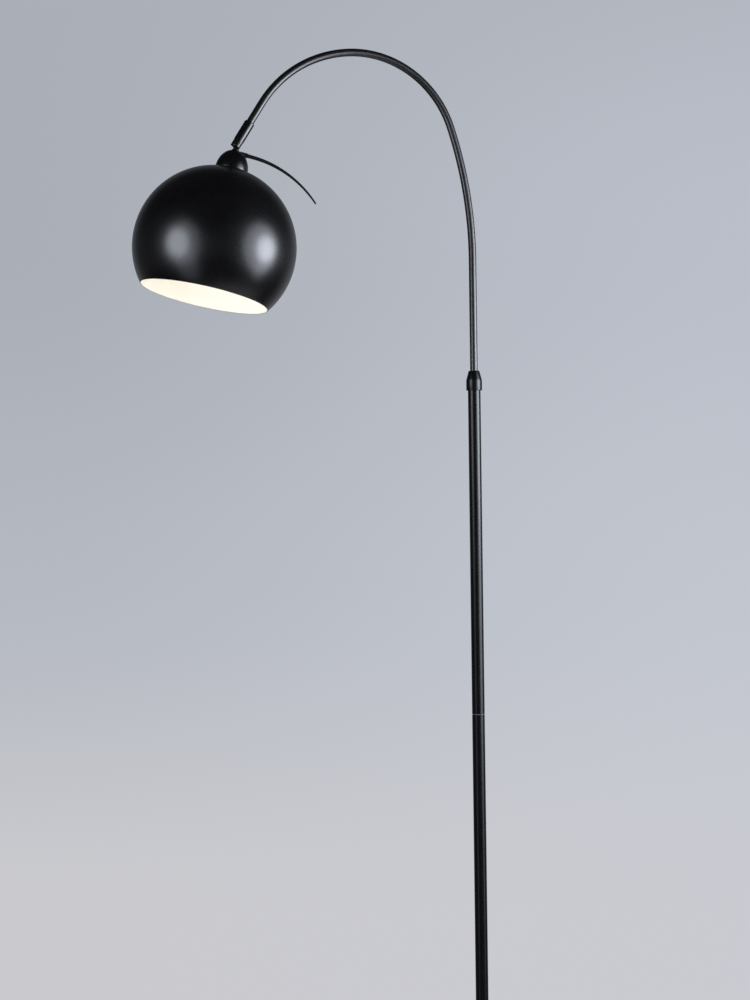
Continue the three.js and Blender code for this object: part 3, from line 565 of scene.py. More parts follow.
def zinc_plate(colours, name, painted_beyond=1.0):
    """Zinc-plated steel, touched in with black paint beyond a distance along Y."""
    recipe, place = material(name)
    painted = abs(recipe.coordinate(place, "Y")) > painted_beyond
    cloud = recipe.noise(place, 140, 4, 0.6)
    plate = recipe.blend(cloud, colours.zinc, (0.60, 0.57, 0.50))
    return recipe.surface(
        Base_Color=recipe.blend(painted, plate, colours.paint_light),
        Metallic=1 - painted,
        Roughness=0.26 + cloud * 0.16,
        Normal=recipe.bump(recipe.turning_lines(place, 700.0, 1.5), 0.12, 0.02 * MM),
    )


def brass(colours):
    """Turned brass, darker where it has tarnished."""
    recipe, place = material("turned_brass")
    tarnish = recipe.step(recipe.noise(place, 90, 5, 0.65), 0.35, 0.75)
    return recipe.surface(
        Base_Color=recipe.blend(tarnish, colours.brass, (0.36, 0.23, 0.09)),
        Metallic=1.0,
        Roughness=0.24 + tarnish * 0.22,
        Normal=recipe.bump(recipe.turning_lines(place, 900.0, 0.8), 0.12, 0.02 * MM),
    )


def cast_iron():
    """Sand-cast iron under a thin grey primer."""
    recipe, place = material("cast_iron")
    sand = recipe.noise(place, 700, 5, 0.7)
    patches = recipe.noise(place, 30, 4, 0.6)
    return recipe.surface(
        Base_Color=recipe.blend(patches, (0.045, 0.045, 0.047), (0.10, 0.095, 0.09)),
        Metallic=0.25,
        Roughness=0.68 + sand * 0.2,
        Normal=recipe.bump(sand, 0.6, 0.25 * MM),
    )


def foam_pad():
    """Closed-cell foam rubber with fine pores."""
    recipe, place = material("foam_rubber_pad")
    pores = recipe.node("TexVoronoi", {}, {"Vector": place, "Scale": 1100.0})
    patches = recipe.noise(place, 50, 2)
    return recipe.surface(
        Base_Color=recipe.blend(patches, (0.012, 0.012, 0.012), (0.024, 0.024, 0.024)),
        Roughness=0.82 + patches * 0.12,
        Normal=recipe.bump(pores, 0.5, 0.15 * MM),
    )


def ceramic():
    """Glazed off-white ceramic with faint specks."""
    recipe, place = material("glazed_ceramic")
    specks = recipe.step(recipe.noise(place, 1300, 2, 0.8), 0.66, 0.74)
    wave = recipe.noise(place, 160, 2)
    return recipe.surface(
        Base_Color=recipe.blend(specks, (0.80, 0.77, 0.71), (0.52, 0.46, 0.38)),
        Roughness=0.22 + wave * 0.14,
        Normal=recipe.bump(wave, 0.2, 0.1 * MM),
    )


def opal_glass(colours, top, bottom):
    """Opal glass that glows evenly, a little warmer towards its neck."""
    recipe, place = material("opal_glass")
    neck = recipe.step(recipe.coordinate(place, "Z"), bottom, top)
    milk = recipe.noise(place, 45, 3)
    return recipe.surface(
        Base_Color=recipe.blend(milk, (0.93, 0.91, 0.86), (0.86, 0.82, 0.74)),
        Roughness=0.18 + milk * 0.08,
        Emission_Color=recipe.blend(neck * 0.7 + milk * 0.15, colours.glow, (1.0, 0.88, 0.70)),
        Emission_Strength=5.6,
        Normal=recipe.bump(milk, 0.05, 0.2 * MM),
    )


MATERIALS = {}


def paints(colours):
    """Makes the shared materials the first time they are asked for."""
    if not MATERIALS:
        # the pole's seams, whose chamfers get a painted highlight as well as wear
        seams = (SECTION_HIGH.z, SECTION_HIGH.z * 2 - SECTION_LOW.z)
        MATERIALS.update(
            paint=black_paint(colours, "satin_black_paint"),
            arm_paint=black_paint(colours, "satin_black_arm_paint", 0.8, 0.34),
            pole_paint=black_paint(colours, "satin_black_pole_paint", 0.4, 0.25, seams),
            plastic=black_plastic(),
            zinc=zinc_plate(colours, "zinc_plated_steel"),
            screws=zinc_plate(colours, "zinc_plate_touched_in", 6.2 * MM),
            brass=brass(colours),
            iron=cast_iron(),
            pad=foam_pad(),
            ceramic=ceramic(),
        )
    return MATERIALS


# ---------------------------------------------------------------- operators


class FLOORLAMP_OT_base(bpy.types.Operator):
    """Presses the base cover, turns the foot ring and moulds the cord gland"""

    bl_idname = "floor_lamp.base"
    bl_label = "Base"

    def execute(self, context):
        sizes = context.scene.lamp_base
        finish = paints(context.scene.lamp_colours)
        self.cover(sizes, finish["paint"])
        self.foot_ring(sizes, context.scene.lamp_pole, finish["paint"])
        self.gland(sizes, finish["plastic"])
        return {"FINISHED"}

    def cover(self, sizes, paint):
        radius, edge = sizes.cover_radius, sizes.cover_edge
        cylinder(radius, COVER_LOW.z, COVER_HIGH.z, BROAD)
        bpy.ops.object.mode_set(mode="EDIT")
        pick("FACE", lambda centre, normal: normal.z < -0.9)
        bpy.ops.mesh.delete(type="FACE")
        round_ring(radius, COVER_HIGH.z, edge, 10)
        pick("FACE", lambda centre, normal: normal.z > 0.9 and centre.xy.length < MM)
        bpy.ops.mesh.inset(thickness=edge / 2)
        bpy.ops.mesh.inset(thickness=radius - edge * 1.5 - sizes.stem_hole)
        bpy.ops.mesh.delete(type="FACE")
        tidy_mesh()
        shell = give_wall(close_editing(), sizes.cover_wall)
        hole = cylinder(sizes.gland_body + FIT, radius - edge, radius + edge, turn_to="X")
        combine(shell, put(hole, (0, 0, GLAND_HEIGHT)))
        finish_piece(shell, "pressed_base_cover", "stand", paint, "base_cover")

    def foot_ring(self, sizes, pole, paint):
        outer, bore = sizes.foot_radius, pole.radius + FIT
        low, high = FOOT_LOW.z, FOOT_HIGH.z
        hollow = (outer - bore - sizes.foot_lip, high - low - sizes.foot_band)
        turn([(bore, low), (outer, low), *arc((outer, high), hollow, 270, 180), (bore, high)])
        round_ring(outer, low + sizes.foot_band, 0.3 * MM, 2)
        ring = close_editing()
        finish_piece(ring, "turned_foot_ring", "stand", paint, "pole_foot")

    def gland(self, sizes, plastic):
        bore, body, flange = sizes.gland_bore, sizes.gland_body, sizes.gland_flange
        inner, face, outer = GLAND_LOW.x, sizes.cover_radius + FIT, GLAND_HIGH.x
        turn([
            (bore, inner), (body, inner), (body, face),
            (flange, face), (flange, outer), (bore, outer),
        ])
        round_ring(flange, outer, 0.9 * MM)
        round_ring(bore, outer, 0.9 * MM)
        gland = put(close_editing(), (0, 0, GLAND_HEIGHT), math.pi / 2)
        finish_piece(gland, "moulded_cord_gland", "stand", plastic, "cord_gland")


class FLOORLAMP_OT_pole(bpy.types.Operator):
    """Draws one pole section and copies it upwards, then turns the clamp nut"""

    bl_idname = "floor_lamp.pole"
    bl_label = "Pole and clamp nut"

    def execute(self, context):
        sizes = context.scene.lamp_pole
        finish = paints(context.scene.lamp_colours)
        self.sections(sizes, finish["pole_paint"])
        self.nut(sizes, context.scene.lamp_arm, finish["pole_paint"])
        return {"FINISHED"}

    def sections(self, sizes, paint):
        radius, bore, chamfer = sizes.radius, sizes.radius - sizes.wall, sizes.chamfer
        low, high = SECTION_LOW.z, SECTION_HIGH.z
        turn([
            (bore, low),
            (radius - chamfer, low),
            (radius, low + chamfer),
            (radius, high - chamfer),
            (radius - chamfer, high),
            (bore, high),
        ])
        section = close_editing()
        for name in ("pole_lower", "pole_middle", "pole_upper"):
            only(section)
            bpy.ops.object.duplicate(linked=False)
            copy = put(bpy.context.object, (0, 0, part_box(name)[0].z - low))
            finish_piece(copy, "drawn_" + name, "stand", paint, name)
        bpy.data.objects.remove(section)

    def nut(self, sizes, arm, paint):
        """The nut, bored from below for its thread and for the cone that squeezes the collet."""
        radius, top, thread, cone = sizes.nut_radius, sizes.nut_top, 10.9 * MM, 9.3 * MM
        mouth = arm.radius + 2 * FIT
        low, high = NUT_LOW.z, NUT_HIGH.z
        shoulder = low + sizes.nut_cylinder
        seat = POLE_TOP + 13.6 * MM
        cone_end = seat + 4.6 * MM
        turn([
            (thread, low), (radius, low), (radius, shoulder), (top, high),
            (mouth, high), (mouth, cone_end), (cone, seat), (thread, seat),
        ])
        round_ring(radius, low, 0.4 * MM, 3)
        round_ring(radius, shoulder, 1.6 * MM, 5)
        round_ring(top, high, 0.9 * MM, 5)
        nut = close_editing()
        finish_piece(nut, "turned_clamp_nut", "clamp_nut", paint, "clamp_nut")


class FLOORLAMP_OT_arm(bpy.types.Operator):
    """Draws the arm's tube and bends it by spinning its end round each bend's centre"""

    bl_idname = "floor_lamp.arm"
    bl_label = "Bent arm"

    def execute(self, context):
        sizes = context.scene.lamp_arm
        finish = paints(context.scene.lamp_colours)
        radius, place, heading = sizes.radius, Vector((0, 0, ARM_FOOT)), 0.0
        start(bpy.ops.mesh.primitive_circle_add, vertices=ARM_SIDES, radius=radius, location=place)
        place = self.go(place, heading, NUT_HIGH.z + sizes.straight - ARM_FOOT)
        rise, crest = math.radians(18.6), math.radians(76)
        fall = math.pi - SLEEVE_LEAN - rise - crest
        bends = ((sizes.rise, rise, 26), (sizes.crest, crest, 52), (sizes.fall, fall, 38))
        for bend_radius, angle, steps in bends:
            place, heading = self.bend(place, heading, bend_radius, angle, steps)
        groove, depth = 4 * MM, 0.4 * MM
        narrowed = 1 - depth / radius
        place = self.go(place, heading, sizes.tail - GRUB_HEIGHT - groove / 2)
        self.narrow(place, narrowed)
        place = self.go(place, heading, groove)
        self.narrow(place, 1 / narrowed)
        self.go(place, heading, GRUB_HEIGHT - groove / 2 - WEB_TOP)
        tidy_mesh()
        tube = give_wall(close_editing(), sizes.wall)
        finish_piece(tube, "bent_arm_tube", "arm", finish["arm_paint"], "arm_tube")
        return {"FINISHED"}

    def go(self, place, heading, distance):
        """Draws the tube's open end straight on."""
        move = Vector((-math.sin(heading), 0, math.cos(heading))) * distance
        draw_out(move)
        return place + move

    def bend(self, place, heading, radius, angle, steps):
        """Spins the tube's open end round a bend's centre, towards -X."""
        across = Vector((math.cos(heading), 0, math.sin(heading)))
        centre = place - across * radius
        bpy.ops.mesh.spin(steps=steps, angle=angle, center=centre, axis=(0, 1, 0))
        heading += angle
        across = Vector((math.cos(heading), 0, math.sin(heading)))
        return centre + across * radius, heading

    def narrow(self, place, factor):
        """Draws the tube's open end in or out on the spot."""
        draw_out((0, 0, 0))
        resize((factor,) * 3, place)


class FLOORLAMP_OT_knuckle(bpy.types.Operator):
    """Makes the forked sleeve on the arm's end and the tongue that tilts in it"""

    bl_idname = "floor_lamp.knuckle"
    bl_label = "Knuckle"

    def execute(self, context):
        sizes = context.scene.lamp_head
        finish = paints(context.scene.lamp_colours)
        self.sleeve(sizes, context.scene.lamp_arm, finish["paint"])
        self.tongue(sizes, finish["paint"])
        self.hinge_screw(sizes.sleeve_radius, finish["screws"])
        self.grub_screw(sizes.sleeve_radius, finish["screws"])
        return {"FINISHED"}

    def sleeve(self, sizes, arm, paint):
        """The sleeve, bored for the arm above its web, and forked below it."""
        radius, bore, cord_way = sizes.sleeve_radius, arm.radius + FIT, 4 * MM
        below, fork_top, web_top = 6.6 * MM, 5.2 * MM, WEB_TOP - FIT
        high = sizes.sleeve_length - below
        turn([
            (cord_way, fork_top - MM), (cord_way, web_top), (bore, web_top),
            (bore, high), (radius, high), (radius, -below), (cord_way, -below),
        ])
        round_ring(radius, high, 1.5 * MM, 6)
        round_ring(radius, -below, 0.5 * MM, 3)
        body = close_editing()
        reach, slot = radius * 1.5, sizes.tongue + 1.4 * MM
        combine(body, block((2 * reach, slot, reach + fork_top), (0, 0, (fork_top - reach) / 2)))
        combine(body, cylinder(SCREW_HOLE, -reach, reach, turn_to="Y"))
        combine(body, self.sink(radius))
        combine(body, put(cylinder(SCREW_HOLE, radius / 2, reach, turn_to="Y"), (0, 0, GRUB_HEIGHT)))
        finish_piece(body, "forked_sleeve", "sleeve", paint, "arm_sleeve")

    def sink(self, radius):
        """The countersink for the cross screw's head."""
        head, wide, core = math.sqrt(radius**2 - SCREW_HEAD**2), 4 * MM, 1 * MM
        foot, top = head - 2 * MM, radius + MM
        turn([(SCREW_HOLE, foot), (wide, head - FIT), (wide, top), (core, top), (core, foot)])
        return lay(close_editing())

    def tongue(self, sizes, paint):
        """A disc whose lower half is drawn down to a shoulder, on a tube through the cap."""
        eye, shoulder, half = 4.25 * MM, 11 * MM, sizes.tongue / 2
        start_disc(eye, ROUND, (0, -half, 0), (math.pi / 2, 0, 0))
        pick("VERT", lambda place: place.z < -WELD and abs(place.x) < 0.99 * eye)
        bpy.ops.mesh.dissolve_verts()
        pick("VERT", lambda place: place.z < -WELD)
        resize((1, 1, 0), (0, 0, 0))
        bpy.ops.transform.translate(value=(0, 0, -shoulder - 0.5 * MM))
        bpy.ops.mesh.select_all(action="SELECT")
        draw_out((0, sizes.tongue, 0))
        tidy_mesh()
        pick("EDGE", lambda place: abs(abs(place.y) - half) < WELD)
        bpy.ops.mesh.bevel(offset=0.35 * MM, segments=3, affect="EDGES")
        tongue = close_editing()
        flange, tube, bore, cord_hole = 6 * MM, 5 * MM, 3.5 * MM, 1.2 * MM
        ledge, ceiling, foot = -12 * MM, -12.5 * MM, -34 * MM
        turn([
            (bore, foot), (tube, foot), (tube, ledge), (flange, ledge),
            (flange, -shoulder), (cord_hole, -shoulder), (cord_hole, ceiling), (bore, ceiling),
        ])
        round_ring(flange, -shoulder, 0.3 * MM, 3)
        combine(tongue, close_editing(), "UNION")
        combine(tongue, cylinder(SCREW_HOLE, -2 * half, 2 * half, turn_to="Y"))
        cord_slot = block((20 * MM, 3.4 * MM, 3 * MM), (0, 0, -6.95 * MM))
        combine(tongue, cord_slot)
        cord_shaft = cylinder(1.65 * MM, -13 * MM, -7 * MM)
        combine(tongue, cord_shaft)
        finish_piece(tongue, "knuckle_tongue", "head", paint, "neck")

    def hinge_screw(self, radius, zinc):
        """The slotted cross screw, whose head lies in the sink."""
        top = math.sqrt(radius**2 - SCREW_HEAD**2) - FIT
        end = -math.sqrt(radius**2 - SCREW_RADIUS**2) + FIT
        shank_end = top - 1.7 * MM
        turn([
            (SCREW_CORE, end), (SCREW_RADIUS, end), (SCREW_RADIUS, shank_end),
            (SCREW_HEAD, top), (SCREW_CORE, top),
        ], SMALL, bpy.ops.mesh.edge_face_add)
        round_ring(SCREW_RADIUS, end, 0.3 * MM, 2)
        screw = close_editing()
        slot = block((8 * MM, 0.9 * MM, 1.2 * MM), (0, 0, top + 0.2 * MM))
        combine(screw, slot)
        finish_piece(lay(screw), "slotted_hinge_screw", "sleeve", zinc, "hinge_screw")

    def grub_screw(self, radius, zinc):
        """The screw with a hexagon socket that locks the sleeve in the arm's groove."""
        low, high, point, chamfer = 5.75 * MM, radius - FIT, 1.4 * MM, 0.6 * MM
        turn([
            (SCREW_CORE, low), (point, low), (SCREW_RADIUS, low + chamfer),
            (SCREW_RADIUS, high), (SCREW_CORE, high),
        ], SMALL, bpy.ops.mesh.edge_face_add)
        screw = close_editing()
        hexagon = cylinder(1.1 * MM, high - 0.9 * MM, high + MM, 6)
        combine(screw, hexagon)
        put(lay(screw), (0, 0, GRUB_HEIGHT))
        finish_piece(screw, "grub_screw", "sleeve", zinc, "sleeve_screw")


class FLOORLAMP_OT_cap(bpy.types.Operator):
    """Turns the cap over the holder, with its socket, and draws the tapered handle"""

    bl_idname = "floor_lamp.cap"
    bl_label = "Cap and handle"

    def execute(self, context):
        sizes = context.scene.lamp_head
        finish = paints(context.scene.lamp_colours)
        self.cap(sizes, finish["paint"])
        self.handle(sizes, finish["paint"])
        return {"FINISHED"}

    def cap(self, sizes, paint):
        """A dome from a small flat to a rim just clear of the globe, with the handle's socket."""
        radius, inner = sizes.cap_radius, sizes.cap_radius - sizes.cap_wall
        top, flat, ceiling = 12.3 * MM, 6.2 * MM, 9 * MM
        rim = globe_drop(sizes) - math.sqrt(sizes.shade_radius**2 - radius**2) - 2 * FIT
        height = (rim - top) / math.sqrt(1 - (flat / radius) ** 2)
        flat_angle = math.degrees(math.acos(flat / radius))
        ceiling_angle = math.degrees(math.acos(ceiling / inner))
        inner_arc = arc((0, -rim), (inner, height - sizes.cap_wall), 0, ceiling_angle, 20)
        turn([
            (NECK_HOLE, -top),
            *arc((0, -rim), (radius, height), flat_angle, 0, 28),
            *inner_arc,
            (NECK_HOLE, inner_arc[-1][1]),
        ], FINE)
        round_ring(radius, -rim, 0.35 * MM, 3)
        shell = close_editing()
        socket_radius, socket_wall = 3.6 * MM, 2.1 * MM
        socket = cylinder(socket_radius, SOCKET_FLOOR - socket_wall, SOCKET_MOUTH, ROUND, "X")
        combine(shell, put(socket, (0, 0, -HANDLE_DROP)), "UNION")
        bore = cylinder(SCREW_HOLE, SOCKET_FLOOR, SOCKET_MOUTH + MM, SMALL, "X")
        combine(shell, put(bore, (0, 0, -HANDLE_DROP)))
        finish_piece(shell, "domed_cap", "head", paint, "cap")

    def handle(self, sizes, paint):
        """A pin for the socket, then a rod that tapers evenly along a straight and an arc."""
        root, tip, chamfer, pin = sizes.handle_root, sizes.handle_tip, 0.3 * MM, 2 * MM
        pin_start, shoulder, straight_end = SOCKET_FLOOR + FIT, SOCKET_MOUTH + FIT, 30 * MM
        place, heading = Vector((pin_start, 0, -HANDLE_DROP)), 0.0
        start_disc(pin, SMALL, place, (0, math.pi / 2, 0))
        place = self.draw_on(place, heading, shoulder - pin_start, 1)
        place = self.draw_on(place, heading, 0, (root - chamfer) / pin)
        place = self.draw_on(place, heading, chamfer, root / (root - chamfer))
        angle, steps = math.radians(42.4), 56
        straight, bent = straight_end - shoulder, sizes.handle_bend * angle
        radius = root + (tip - root) * straight / (straight + bent)
        place = self.draw_on(place, heading, straight - chamfer, radius / root)
        turned = angle / steps
        chord = 2 * sizes.handle_bend * math.sin(turned / 2)
        for i in range(steps):
            share = (straight + bent * (i + 1) / steps) / (straight + bent)
            new_radius = root + (tip - root) * share
            place = self.draw_on(place, heading + turned / 2, chord, new_radius / radius)
            bpy.ops.transform.rotate(value=-turned, orient_axis="Y", center_override=place)
            heading, radius = heading + turned, new_radius
        rings = 5
        for i in range(rings):
            first, second = (math.pi / 2 * (i + k) / (rings + 0.5) for k in (0, 1))
            rise = tip * (math.sin(second) - math.sin(first))
            place = self.draw_on(place, heading, rise, math.cos(second) / math.cos(first))
        tidy_mesh()
        finish_piece(close_editing(), "tapered_handle", "head", paint, "handle")

    def draw_on(self, place, heading, distance, factor):
        """Draws the handle's end on and resizes it. The heading is measured down from +X."""
        move = Vector((math.cos(heading), 0, -math.sin(heading))) * distance
        draw_out(move)
        resize((factor,) * 3, place + move)
        return place + move


class FLOORLAMP_OT_shade(bpy.types.Operator):
    """Spins the globe, opens its mouth and holder hole, and rolls its rim"""

    bl_idname = "floor_lamp.shade"
    bl_label = "Shade"

    def execute(self, context):
        sizes = context.scene.lamp_head
        radius, mouth, seat = sizes.shade_radius, sizes.shade_mouth, seat_height(sizes)
        sphere = {"segments": BROAD, "ring_count": BROAD // 2, "radius": radius}
        start(bpy.ops.mesh.primitive_uv_sphere_add, **sphere)
        bpy.ops.mesh.bisect(plane_co=(0, 0, -mouth), plane_no=(0, 0, 1), clear_inner=True)
        bpy.ops.mesh.select_all(action="SELECT")
        bpy.ops.mesh.bisect(plane_co=(0, 0, seat), plane_no=(0, 0, 1), clear_outer=True)
        bpy.ops.mesh.edge_face_add()
        bpy.ops.mesh.inset(thickness=SHADE_FLAT - SHADE_HOLE)
        bpy.ops.mesh.delete(type="FACE")
        tidy_mesh()
        shell = give_wall(close_editing(), sizes.shade_wall)
        bpy.ops.object.mode_set(mode="EDIT")
        round_ring(math.sqrt(radius**2 - mouth**2), -mouth, 0.3 * MM, 3)
        put(close_editing(), (0, 0, -globe_drop(sizes)))
        paint = shade_paint(context.scene.lamp_colours, sizes, seat)
        finish_piece(shell, "spun_globe_shade", "head", paint, "shade")
        return {"FINISHED"}


class FLOORLAMP_OT_holder(bpy.types.Operator):
    """Moulds the lampholder and its ring, and rolls the bulb's screw cap"""

    bl_idname = "floor_lamp.holder"
    bl_label = "Lampholder"

    def execute(self, context):
        finish = paints(context.scene.lamp_colours)
        seat = -context.scene.lamp_head.shade_drop
        self.holder(seat, finish["plastic"])
        self.ring(seat, finish["plastic"])
        self.screw_cap(seat, finish["brass"])
        return {"FINISHED"}

    def holder(self, seat, plastic):
        """The holder hangs by its flange on the shade's flat, and its thread stands out below."""
        crown, neck, flange, outer, bore = 13 * MM, 17 * MM, 22 * MM, 19.7 * MM, 16 * MM
        wall, pitch, taper = 2 * MM, 2 * MM, 1.7 * MM
        top = seat + 16 * MM
        slope_end = top - neck + crown
        flange_low = seat + FIT
        flange_high = flange_low + 3 * MM
        thread_end, mouth = flange_low - 27 * MM, top - 60 * MM
        root = outer - 0.6 * MM
        ridges = []
        for i in range(12):
            crest = flange_low - MM - i * pitch
            ridges += [(outer, crest), (outer, crest - 0.7 * MM)]
            ridges += [(root, crest - MM), (root, crest - 1.7 * MM)]
        turn([
            (NECK_HOLE, top), (crown, top), (neck, slope_end),
            (neck, flange_high), (flange, flange_high), (flange, flange_low), (outer, flange_low),
            *ridges,
            (outer, thread_end), (outer - taper, mouth), (bore, mouth),
            (bore, slope_end), (crown - wall, top - wall), (NECK_HOLE, top - wall),
        ], FINE)
        round_ring(flange, flange_high, 0.5 * MM, 3)
        round_ring(outer - taper, mouth, 0.6 * MM, 3)
        holder = close_editing()
        finish_piece(holder, "threaded_lampholder", "head", plastic, "lampholder")

    def ring(self, seat, plastic):
        """The ring under the shade's flat, with notches for a thumb in its rim."""
        lip, rim, skirt = 22 * MM, 27 * MM, 23 * MM
        high = seat - MM - FIT
        rim_low, low = high - 4 * MM, high - 10 * MM
        turn([
            (SHADE_HOLE, high), (lip, high), (rim, high - 1.6 * MM), (rim, rim_low),
            (skirt, rim_low), (skirt, low), (SHADE_HOLE, low),
        ], FINE)
        round_ring(rim, rim_low, 0.5 * MM, 3)
        round_ring(skirt, low, 0.5 * MM, 3)
        ring = close_editing()
        notch = (28 * MM, 0, high - 2 * MM)
        start(bpy.ops.mesh.primitive_cube_add, size=4 * MM, location=notch)
        resize((1, 1, 2), notch)
        bpy.ops.mesh.spin(steps=6, dupli=True, angle=2 * math.pi, center=(0, 0, 0), axis=(0, 0, 1))
        tidy_mesh()
        combine(ring, close_editing())
        finish_piece(ring, "notched_shade_ring", "head", plastic, "shade_ring")

    def screw_cap(self, seat, brass_finish):
        """The bulb's screw cap, open to the glass and with a small hole in its tip."""
        contact, crest, root, bore = 4 * MM, 13 * MM, 12.5 * MM, 12 * MM
        tip = seat - 19.6 * MM
        low, shoulder = tip - 24 * MM, tip - 3 * MM
        pitch = 3.6 * MM
        threads = []
        for i in range(5):
            level = shoulder - 1.2 * MM - i * pitch
            threads += [(root, level), (crest, level - 0.9 * MM)]
            threads += [(crest, level - 1.5 * MM), (root, level - 2.4 * MM)]
        turn([
            (MM, tip), (contact, tip), (root, shoulder),
            *threads,
            (crest, low + MM), (crest, low), (bore, low), (bore, shoulder - MM), (MM, shoulder - MM),
        ])
        cap = close_editing()
        finish_piece(cap, "rolled_screw_cap", "head", brass_finish, "bulb_cap")


class FLOORLAMP_OT_bulb(bpy.types.Operator):
    """Blows the opal bulb"""

    bl_idname = "floor_lamp.bulb"
    bl_label = "Bulb"

    def execute(self, context):
        radius, neck, wall = 30 * MM, 12 * MM, 1 * MM
        seat = -context.scene.lamp_head.shade_drop
        top, centre = seat - 43.9 * MM, seat - 97.6 * MM
        neck_angle, facets = 20.5, 40
        ball = arc((0, centre), (radius, radius), neck_angle, -90, facets)
        turn([(neck, top), *ball], BULB_SIDES, close=None)
        bpy.ops.mesh.select_mode(type="VERT")
        glass = give_wall(close_editing(), wall)
        opal = opal_glass(context.scene.lamp_colours, PIVOT.z + top, PIVOT.z + centre)
        finish_piece(glass, "blown_opal_bulb", "head", opal, "bulb_glass")
        return {"FINISHED"}


class FLOORLAMP_OT_frame_finishes(bpy.types.Operator):
    """Gives the frame's own visible pieces their materials"""

    bl_idname = "floor_lamp.frame_finishes"
    bl_label = "Frame finishes"

    def execute(self, context):
        finish = paints(context.scene.lamp_colours)
        groups = {
            "pad": ["base_pad"],
            "iron": ["base_weight"],
            "zinc": [
                "base_washer", "base_nut", "pole_stud", "joiner_lower", "joiner_upper",
                "socket_lower", "socket_middle", "socket_upper", "clamp_body", "neck_nut",
            ],
            "plastic": ["arm_guide", "hinge_washer_front", "hinge_washer_rear"],
            "brass": ["collet", "holder_contact"],
            "ceramic": ["holder_insert"],
        }
        for kind, nodes in groups.items():
            for node in nodes:
                frame["nodes"][node].material_slots[0].material = finish[kind]
        return {"FINISHED"}


